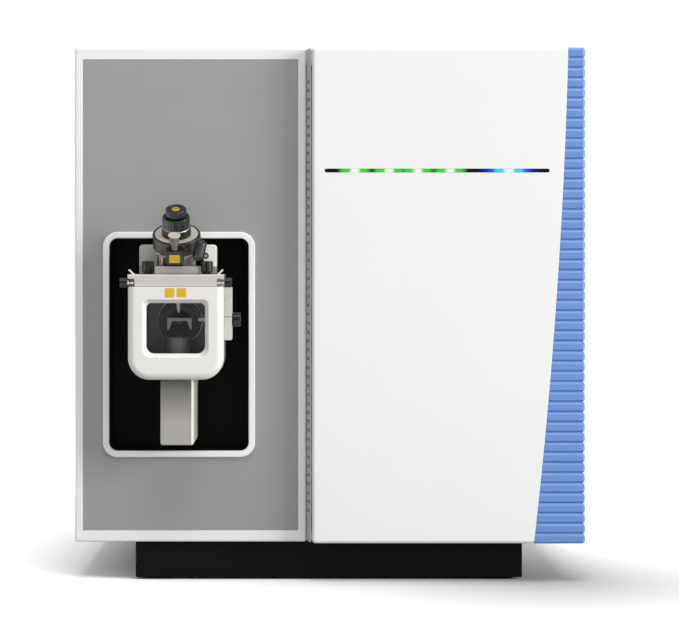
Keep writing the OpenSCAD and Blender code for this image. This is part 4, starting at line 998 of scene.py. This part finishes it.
class SPECTRO_OT_probe(bpy.types.Operator):
    """Spray probe: stepped black barrel, sleeve, nozzle and needle, and the turning cap on it"""
    bl_idname = "spectro.probe"
    bl_label = "Spray probe"

    def execute(self, context):
        barrel = turned("probe_barrel", in_mm((
            (18.2, -0.8), (18.8, -0.2), (18.8, 8.4), (17.7, 9.5), (16.8, 9.5), (16.8, 11.0), (17.5, 11.6),
            (17.5, 24.3), (16.3, 25.5), (6.0, 25.5), (6.0, 31.0))), 96)
        flute(barrel, 24, 0.35 * MM, 17.5 * MM, 11.5 * MM, 24.4 * MM, 0.5)
        on_probe(barrel)
        washer = turned("barrel_washer", in_mm((
            (16.9, 9.6), (17.7, 9.6), (18.0, 9.9), (17.7, 10.3), (16.9, 10.3))), 96)
        on_probe(washer)
        hand_over(washer, "machined_aluminium", "machined_alloy", "source")
        hand_over(barrel, "black_nylon", "black_moulding", "source", "probe_body", angle=30)
        tip = turned("spray_nozzle", in_mm((
            (1.0, -116), (1.6, -115.5), (2.6, -104), (3.0, -103.5), (5.5, -87), (11.9, -87), (11.9, -1))), 48)
        on_probe(tip)
        hand_over(tip, "spray_metal", "stainless", "source")
        cap = turned("probe_turning_cap", in_mm((
            (12.6, 26.3), (13.4, 27.0), (13.4, 34.9), (12.3, 36.0), (10.6, 36.0), (10.2, 35.3), (6.2, 35.3),
            (6.0, 34.6))), 96)
        flute(cap, 24, 0.6 * MM, 13.4 * MM, 26.9 * MM, 35.0 * MM, 0.5)
        cut(cap, rod("spindle_bore", (0, 0, 0.02), (0, 0, 31.2 * MM), 6.05 * MM))
        on_probe(cap)
        hand_over(cap, "black_nylon", "black_moulding", "cap", "probe_cap", angle=30)
        contact = turned("gold_contact", in_mm((
            (5.4, 33.6), (5.4, 35.4), (4.9, 35.9), (2.0, 35.9), (1.2, 35.3))), 48)
        on_probe(contact)
        hand_over(contact, "gold_contact", "brass_fitting", "cap")
        return {"FINISHED"}


class SPECTRO_OT_switch_block(bpy.types.Operator):
    """Black switch block in front of the ring with its plain patch, and the beige thumbscrew in it"""
    bl_idname = "spectro.switch_block"
    bl_label = "Switch block"

    def execute(self, context):
        # Sizes are measured along the probe, from the locking ring's top
        mid, wide, near, far, low, high = -0.8 * MM, 23.5 * MM, -43.7 * MM, -31.3 * MM, -23 * MM, -4 * MM
        body = block("switch_block", (mid - wide / 2, near, low), (mid + wide / 2, far, high))
        bevel_edges(body, 5 * MM, 7, lambda e: runs_along(e, Y) and at(e, Z, low))
        bevel_edges(body, 3 * MM, 6, lambda e: runs_along(e, Y) and at(e, Z, high))
        ease(body, 0.9 * MM, 3, 40)
        middle = (near + far) / 2
        cut(body, rod("screw_hole", (mid, middle, high - 9 * MM), (mid, middle, high + MM), 2.55 * MM, 32))
        join(body, block("arm", (-8 * MM, far - 2 * MM, -25.6 * MM), (8 * MM, -27 * MM, -21.4 * MM)))
        on_probe(body)
        hand_over(body, "black_nylon", "black_moulding", "source", "interlock_block", angle=30)
        patch = rounded_block("yellow_patch_3", (mid - 6.9 * MM, near - 0.1 * MM, low + 3.2 * MM),
                              (mid + 6.9 * MM, near + 0.3 * MM, low + 14.6 * MM), 1.0 * MM, steps=3)
        on_probe(patch)
        hand_over(patch, "yellow_film", "white_moulding", "source")
        disc = turned("thumbscrew_disc", in_mm((
            (6.0, 15.4), (7.4, 15.4), (7.9, 15.8), (7.9, 17.0), (7.5, 17.5), (6.0, 17.5), (5.7, 17.2))), 80)
        flute(disc, 20, 0.4 * MM, 7.9 * MM, 15.7 * MM, 17.1 * MM, 0.5)
        stem = turned("thumbscrew_stem", in_mm((
            (3.9, 4.8), (5.7, 4.8), (6.0, 5.2), (6.0, 15.3), (5.6, 15.5))), 64)
        pin = turned("thumbscrew_pin", in_mm((
            (2.2, -12), (2.5, -11.5), (2.5, -3.7), (3.6, -3.7), (3.9, -3.3), (3.9, 4.9))), 48)
        for piece, skin in ((disc, "beige_acetal"), (stem, "dark_acetal"), (pin, "dark_acetal")):
            place(piece, (mid, middle, 0))
            on_probe(piece)
            hand_over(piece, skin, "warm_plastic", "thumbscrew", "ring_thumbscrew")
        return {"FINISHED"}


class SPECTRO_OT_heater_plug(bpy.types.Operator):
    """Oval connector beside the ring on its stem, and the small ringed terminal next to it"""
    bl_idname = "spectro.heater_plug"
    bl_label = "Heater plug"

    def execute(self, context):
        low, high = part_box("heater_plug")
        radius = 7.6
        profile = [(radius * sin(radians(a)), -6 - radius * cos(radians(a))) for a in range(8, 91, 12)]
        profile += [(radius * sin(radians(a)), 7 - radius * cos(radians(a))) for a in range(90, 178, 12)]
        plug = turned("oval_connector", in_mm(profile), 48)
        foot = Vector((SOURCE_X + 30.8 * MM, low.y + 7.6 * MM, SOURCE_TOP + 30.5 * MM))
        place(plug, foot, (0, radians(12), 0))
        stem_z = SOURCE_TOP + 22 * MM
        stem = rod("stem", (foot.x, foot.y, stem_z), (foot.x, high.y, stem_z), 3 * MM)
        join(plug, stem)
        hand_over(plug, "black_nylon", "black_moulding", "source", "heater_plug")
        settle()
        spot = Vector((SOURCE_X + 36.5 * MM, FRONT - 37.5 * MM, SOURCE_TOP + 24 * MM))
        bpy.ops.mesh.primitive_torus_add(location=spot, rotation=(pi / 2, 0, 0), major_radius=3.2 * MM,
                                         minor_radius=0.9 * MM, major_segments=40, minor_segments=14)
        hoop = keep_primitive("terminal_hoop")
        hand_over(hoop, "black_nylon", "black_moulding", "source")
        pin = rod("terminal_pin", (spot.x, spot.y, spot.z), (spot.x, FRONT - 24 * MM, spot.z), 2.3 * MM, 32)
        ease(pin, 0.5 * MM)
        hand_over(pin, "turned_stainless", "stainless", "source")
        return {"FINISHED"}


class SPECTRO_OT_clamp_knobs(bpy.types.Operator):
    """Two ribbed clamp knobs on the source's front edge"""
    bl_idname = "spectro.clamp_knobs"
    bl_label = "Clamp knobs"

    def execute(self, context):
        for side in ("left", "right"):
            low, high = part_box(f"clamp_knob_{side}")
            radius, tall = (high.x - low.x) / 2, high.z - low.z
            knob = turned(f"ribbed_clamp_{side}", [
                (radius - 2.6 * MM, 0), (radius - 1.2 * MM, 3.2 * MM), (radius, 4.2 * MM),
                (radius, tall - 1.2 * MM), (radius - 1.1 * MM, tall), (radius - 3 * MM, tall),
                (radius - 3.3 * MM, tall - 0.6 * MM)], 64)
            flute(knob, 16, 1.0 * MM, radius, 4.1 * MM, tall - 1.1 * MM, 0.5)
            place(knob, ((low.x + high.x) / 2, (low.y + high.y) / 2, low.z))
            hand_over(knob, "black_nylon", "black_moulding", f"{side}_clamp", f"clamp_knob_{side}", angle=30)
        return {"FINISHED"}


class SPECTRO_OT_side_screws(bpy.types.Operator):
    """Two knurled screws at the band's ends, each with a steel collar in its notch"""
    bl_idname = "spectro.side_screws"
    bl_label = "Side screws"

    def execute(self, context):
        for side, sign in (("left", -1), ("right", 1)):
            low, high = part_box(f"side_screw_{side}")
            end = cover_low.x if sign < 0 else cover_high.x
            place_at = (end, (low.y + high.y) / 2, (low.z + high.z) / 2)
            turn = (0, sign * pi / 2, 0)
            head = turned(f"knurled_screw_{side}", in_mm((
                (5.4, 1.0), (6.4, 1.8), (6.4, 9.4), (5.6, 10.5), (3.0, 10.5), (2.8, 10.1))), 56)
            flute(head, 14, 1.0 * MM, 6.4 * MM, 1.7 * MM, 9.5 * MM, 0.5)
            place(head, place_at, turn)
            hand_over(head, "black_nylon", "black_moulding", f"{side}_screw", f"side_screw_{side}", angle=30)
            collar = turned(f"screw_collar_{side}", in_mm((
                (2.4, -17.5), (2.4, -8), (3.4, -8), (3.9, -7.2), (3.9, -4.6), (3.0, -4.0), (3.0, -2.2),
                (3.9, -1.6), (3.9, 0.2), (2.5, 0.6), (2.5, 1.6))), 48)
            place(collar, place_at, turn)
            hand_over(collar, "turned_stainless", "stainless", f"{side}_screw")
        return {"FINISHED"}


class SPECTRO_OT_adjuster(bpy.types.Operator):
    """Ridged adjuster knob on its shaft, and the two-part plate that it turns in"""
    bl_idname = "spectro.adjuster"
    bl_label = "Adjuster"

    def execute(self, context):
        low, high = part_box("adjuster_knob")
        plate_low, plate_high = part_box("side_plate")
        mid = (low + high) / 2
        spot = (plate_high.x + 0.3 * MM, mid.y, mid.z)
        knob = turned("ridged_adjuster", in_mm((
            (8.4, 0), (9.4, 0.8), (9.4, 10.0), (8.5, 11.0), (5.5, 11.0), (5.2, 10.6))), 80)
        flute(knob, 20, 1.0 * MM, 9.4 * MM, 0.7 * MM, 10.1 * MM, 0.5)
        place(knob, spot, (0, pi / 2, 0))
        hand_over(knob, "black_nylon", "black_moulding", "adjuster", "adjuster_knob", angle=30)
        shaft = rod("adjuster_shaft", (low.x, mid.y, mid.z), (spot[0] + MM, mid.y, mid.z), 2.5 * MM, 32)
        hand_over(shaft, "dull_alloy", "stainless", "adjuster")
        seam = SOURCE_TOP - 54.9 * MM
        for name, bottom, top in (("side_plate_lower", plate_low.z, seam - 0.25 * MM),
                                  ("side_plate_upper", seam + 0.25 * MM, plate_high.z)):
            plate = block(name, (plate_low.x, plate_low.y, bottom), (plate_high.x, plate_high.y, top))
            ease(plate, 0.9 * MM, 3)
            cut(plate, rod("shaft_hole", (low.x, mid.y, mid.z), (high.x, mid.y, mid.z), 2.55 * MM, 32))
            hand_over(plate, "pale_casting", "cast_alloy", "source", "side_plate")
        return {"FINISHED"}


class SPECTRO_OT_drain_duct(bpy.types.Operator):
    """Folded duct under the source, with soft corners"""
    bl_idname = "spectro.drain_duct"
    bl_label = "Drain duct"

    def execute(self, context):
        low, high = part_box("drain_duct")
        piece = block("drain_duct_shell", low, high)
        bevel_edges(piece, 3.2 * MM, 1, lambda e: runs_along(e, Z) and at(e, X, high.x) and at(e, Y, low.y))
        bevel_edges(piece, 4.5 * MM, 6, lambda e: runs_along(e, Y) and at(e, Z, low.z))
        ease(piece, 0.8 * MM, 3, 40)
        wall = 2 * MM
        cut(piece, block("inside", (low.x + wall, low.y + 2.5 * wall, low.z + 2 * wall),
                         (high.x - wall, high.y - wall, high.z + 0.01)))
        # Its finish carries a painted shadow of the cover, darkest at the duct's top
        hand_over(piece, "duct_casting_painted_shadow", "cast_alloy", "source", "drain_duct", angle=30)
        return {"FINISHED"}


class SPECTRO_OT_inlet(bpy.types.Operator):
    """Disc, cone and arched holder round the ion inlet, and the drain cup in front of it"""
    bl_idname = "spectro.inlet"
    bl_label = "Ion inlet"

    def execute(self, context):
        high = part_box("sweep_cone")[1]
        mid_z, disc_y = high.z - 28.7 * MM, high.y
        disc = turned("inlet_disc", in_mm((
            (28.7, 0), (28.7, 16.8), (27.5, 18), (22, 18), (21, 17), (15.5, 17), (14, 18), (5, 26), (1.5, 26),
            (1.4, 25))), 96)
        place(disc, (SOURCE_X, disc_y, mid_z), (pi / 2, 0, 0))
        hand_over(disc, "baked_steel", "dark_alloy", "root", "sweep_cone")
        front, top, foot = disc_y - 27 * MM, mid_z + 4 * MM, mid_z - 12.5 * MM
        arch = block("inlet_arch", (SOURCE_X - 16 * MM, front, mid_z - 12 * MM),
                     (SOURCE_X + 16 * MM, front + 10 * MM, top))
        bevel_edges(arch, 1.5 * MM, 3, lambda e: runs_along(e, Y) and at(e, Z, top))
        # The opening narrows from its foot to its top, so that the legs taper
        foot_half, top_half = 14.8, 9.5
        opening = block("opening", (SOURCE_X - foot_half * MM, front - 0.01, foot),
                        (SOURCE_X + foot_half * MM, front + 0.03, mid_z))
        pick(opening, "verts", lambda v: v.co.z > mid_z - NEAR)
        bpy.ops.transform.resize(value=(top_half / foot_half, 1, 1), center_override=(SOURCE_X, front, mid_z))
        settle()
        cut(arch, opening)
        ease(arch, 0.4 * MM)
        hand_over(arch, "dull_alloy", "dark_alloy", "root")
        cup = refined_copy("spray_drain", "drain_cup", 0.5 * MM)
        hand_over(cup, "hot_cast_cup", "cast_alloy", "source", "spray_drain")
        return {"FINISHED"}


# ---- sides, back and inside ----

class SPECTRO_OT_services(bpy.types.Operator):
    """Rear, side and inner pieces: the frame's own solids with eased edges"""
    bl_idname = "spectro.services"
    bl_label = "Rear and inner pieces"

    COPIES = (
        ("source_housing", "cast_source_housing", 0.15), ("hose_ports", "ridged_hose_ports", 0.5),
        ("gas_inlets", "brass_gas_inlets", 0.4), ("power_inlet", "mains_inlet", 0.4),
        ("power_switch", "mains_rocker", 0.6), ("foot_pads", "rubber_pads", 0.6),
        ("vent_strip", "slotted_vent_strip", 0.25), ("top_cover", "folded_top", 0.5),
        ("left_side_panel", "folded_left_side", 0.5), ("right_side_panel", "folded_right_side", 0.5),
    )

    def execute(self, context):
        slots = {part["node"]: part["material_slot"] for part in frame["record"]["subparts"]}
        bodies = frame["record"]["behaviour"]["bodies"]
        for node, name, edge in self.COPIES:
            slot = slots[node]
            body = next(body for body, members in bodies.items() if node in members)
            hand_over(refined_copy(node, name, edge * MM), SLOT_FINISHES[slot], slot, body, node)
        return {"FINISHED"}


class SPECTRO_OT_fasteners(bpy.types.Operator):
    """Pan-head screws round the edges of the rear sheet"""
    bl_idname = "spectro.fasteners"
    bl_label = "Fasteners"

    def execute(self, context):
        low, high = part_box("rear_panel")
        inset = 14 * MM
        across = [low.x + inset, (low.x + high.x) / 2, high.x - inset]
        up = [low.z + inset + (high.z - low.z - 2 * inset) * i / 4 for i in range(5)]
        spots = [(x, z) for x in across for z in up if x != across[1] or z in (up[0], up[-1])]
        heads = []
        for x, z in spots:
            head = turned("head", in_mm((
                (3.6, -0.4), (3.8, 0.2), (3.4, 1.4), (2.2, 2.0), (1.6, 2.0), (1.5, 0.9))), 20)
            heads.append(place(head, (x, high.y, z), (-pi / 2, 0, 0)))
        screws = join(heads[0], *heads[1:])
        screws.name = "rear_screws"
        hand_over(screws, "zinc_plated_steel", "zinc_steel", "root")
        return {"FINISHED"}


class SPECTRO_OT_frame_finishes(bpy.types.Operator):
    """Gives every solid of the frame that still shows its own finish"""
    bl_idname = "spectro.frame_finishes"
    bl_label = "Frame finishes"

    def execute(self, context):
        for part in frame["record"]["subparts"]:
            node = frame["nodes"][part["node"]]
            if node.hide_render:
                continue
            material = finished(SLOT_FINISHES[part["material_slot"]])
            if not node.material_slots:
                node.data.materials.append(material)
            for slot in node.material_slots:
                slot.material = material
        return {"FINISHED"}


# ---- stage ----

# The floor's white grows from NEAR_WHITE under FLOOR_MIDDLE to FULL_WHITE at FLOOR_REACH metres from it: a painted
# shadow round the object, centred right of its middle, that deepens its real shadow
FLOOR_SIZE = 16
FLOOR_MIDDLE = (0.27, FRONT, 0)
FLOOR_REACH = 1.58
NEAR_WHITE, FULL_WHITE = 0.5, 3
# Level of the light that the floor throws back on the object
FLOOR_BOUNCE = 0.42
# Place and side of each softbox in metres, and the point that both aim at
RIGHT_SOFTBOX = ((6.5, -3.4, 2.2), 3.4)
TOP_SOFTBOX = ((0.3, -2.2, 4.2), 2.6)
SOFTBOX_AIM = Vector((0, -0.2, 0.35))
SENSOR_WIDTH_MM = 36
LENS_SHIFT = (0.0582, -0.078)
FAR_CLIP = 60


def seen_directly(owner):
    """1 for camera, mirror and see-through rays, and 0 for those that light the object."""
    path = add_node(owner, "ShaderNodeLightPath")
    total = path.outputs["Is Camera Ray"]
    for name in ("Is Glossy Ray", "Is Transmission Ray"):
        total = add_node(owner, "ShaderNodeMath", {"operation": "MAXIMUM"},
                         {0: total, 1: path.outputs[name]}).outputs[0]
    return total


def floor_paint():
    """White floor that keeps the object's shadow, deepened near the object by a painted shadow, and runs out to
    pure white away from it.
    """
    material = bare_material("White studio floor")
    shader = shader_of(material)
    shader.inputs["Roughness"].default_value = 0.9
    shader.inputs["Specular IOR Level"].default_value = 0.0
    spot = add_node(material, "ShaderNodeTexCoord").outputs["Object"]
    reach = add_node(material, "ShaderNodeVectorMath", {"operation": "DISTANCE", 1: FLOOR_MIDDLE}, {0: spot})
    white = add_node(material, "ShaderNodeMapRange",
                     {"From Max": FLOOR_REACH, "To Min": NEAR_WHITE, "To Max": FULL_WHITE},
                     {"Value": reach.outputs["Value"]})
    tint = add_node(material, "ShaderNodeMix", {"data_type": "RGBA", 6: (*[FLOOR_BOUNCE] * 3, 1)},
                    {"Factor": seen_directly(material), 7: white.outputs[0]})
    link(material, tint.outputs[2], "Base Color")
    return material


class SPECTRO_OT_stage(bpy.types.Operator):
    """White floor and surroundings, two softboxes and the camera"""
    bl_idname = "spectro.stage"
    bl_label = "Stage"

    def execute(self, context):
        stage = context.scene.stage
        settle()
        bpy.ops.mesh.primitive_plane_add(size=FLOOR_SIZE, location=(0, 2, 0))
        floor = keep_primitive("studio_floor")
        floor.data.materials.append(floor_paint())
        self.surroundings(context.scene, stage.room_light)
        self.softbox("right_softbox", *RIGHT_SOFTBOX, stage.key_power)
        self.softbox("top_softbox", *TOP_SOFTBOX, stage.top_power)
        eye = bpy.data.cameras.new("front_camera")
        camera = bpy.data.objects.new("front_camera", eye)
        context.scene.collection.objects.link(camera)
        camera.location = stage.eye
        camera.rotation_euler = (pi / 2, 0, 0)
        eye.lens = stage.lens
        eye.sensor_width = SENSOR_WIDTH_MM
        eye.shift_x, eye.shift_y = LENS_SHIFT
        eye.clip_end = FAR_CLIP
        context.scene.camera = camera
        context.scene.view_settings.view_transform = "Standard"
        return {"FINISHED"}

    def surroundings(self, scene, level):
        """Even white all round, at a lower level for the light that it gives."""
        world = bpy.data.worlds.new("White surroundings")
        scene.world = world
        world.use_nodes = True
        nodes = world.node_tree.nodes
        shown = nodes["Background"]
        shown.inputs["Color"].default_value = (1, 1, 1, 1)
        shown.inputs["Strength"].default_value = 1.0
        lighting = add_node(world, "ShaderNodeBackground", {"Color": (1, 1, 1, 1), "Strength": level})
        mix = add_node(world, "ShaderNodeMixShader",
                       links={0: seen_directly(world), 1: lighting.outputs[0], 2: shown.outputs[0]})
        world.node_tree.links.new(mix.outputs[0], nodes["World Output"].inputs["Surface"])

    def softbox(self, name, spot, size, power):
        """Square area lamp aimed at the object's middle."""
        lamp = bpy.data.lights.new(name, "AREA")
        lamp.size, lamp.energy = size, power
        light = bpy.data.objects.new(name, lamp)
        bpy.context.scene.collection.objects.link(light)
        light.location = spot
        light.rotation_euler = (SOFTBOX_AIM - Vector(spot)).to_track_quat("-Z", "Y").to_euler()


GROUPS = {
    "colours": ColourSettings, "cabinet": CabinetSettings, "door": DoorSettings,
    "source": SourceSettings, "stage": StageSettings,
}
STEPS = (
    SPECTRO_OT_stage, SPECTRO_OT_left_frame, SPECTRO_OT_recess, SPECTRO_OT_plinth, SPECTRO_OT_door,
    SPECTRO_OT_trim, SPECTRO_OT_light_bar, SPECTRO_OT_source_cover, SPECTRO_OT_cover_band,
    SPECTRO_OT_window, SPECTRO_OT_top_block, SPECTRO_OT_lock_ring, SPECTRO_OT_probe_port,
    SPECTRO_OT_probe, SPECTRO_OT_switch_block, SPECTRO_OT_heater_plug, SPECTRO_OT_clamp_knobs,
    SPECTRO_OT_side_screws, SPECTRO_OT_adjuster, SPECTRO_OT_drain_duct, SPECTRO_OT_inlet,
    SPECTRO_OT_services, SPECTRO_OT_fasteners, SPECTRO_OT_frame_finishes,
)


class SPECTRO_PT_pieces(bpy.types.Panel):
    """Lists the pieces and the settings in the sidebar"""
    bl_idname = "SPECTRO_PT_pieces"
    bl_label = "Mass spectrometer"
    bl_space_type = "VIEW_3D"
    bl_region_type = "UI"
    bl_category = "Spectrometer"

    def draw(self, context):
        for step in STEPS:
            self.layout.operator(step.bl_idname)
        for group, kind in GROUPS.items():
            box = self.layout.box()
            for prop in kind.__annotations__:
                box.prop(getattr(context.scene, group), prop)


def register():
    for kind in (*GROUPS.values(), *STEPS, SPECTRO_PT_pieces):
        bpy.utils.register_class(kind)
    for name, kind in GROUPS.items():
        setattr(bpy.types.Scene, name, bpy.props.PointerProperty(type=kind))


def unregister():
    for name in GROUPS:
        delattr(bpy.types.Scene, name)
    for kind in reversed((*GROUPS.values(), *STEPS, SPECTRO_PT_pieces)):
        bpy.utils.unregister_class(kind)


def main():
    register()
    for step in STEPS:
        family, name = step.bl_idname.split(".")
        getattr(getattr(bpy.ops, family), name)()


if __name__ == "__main__":
    main()
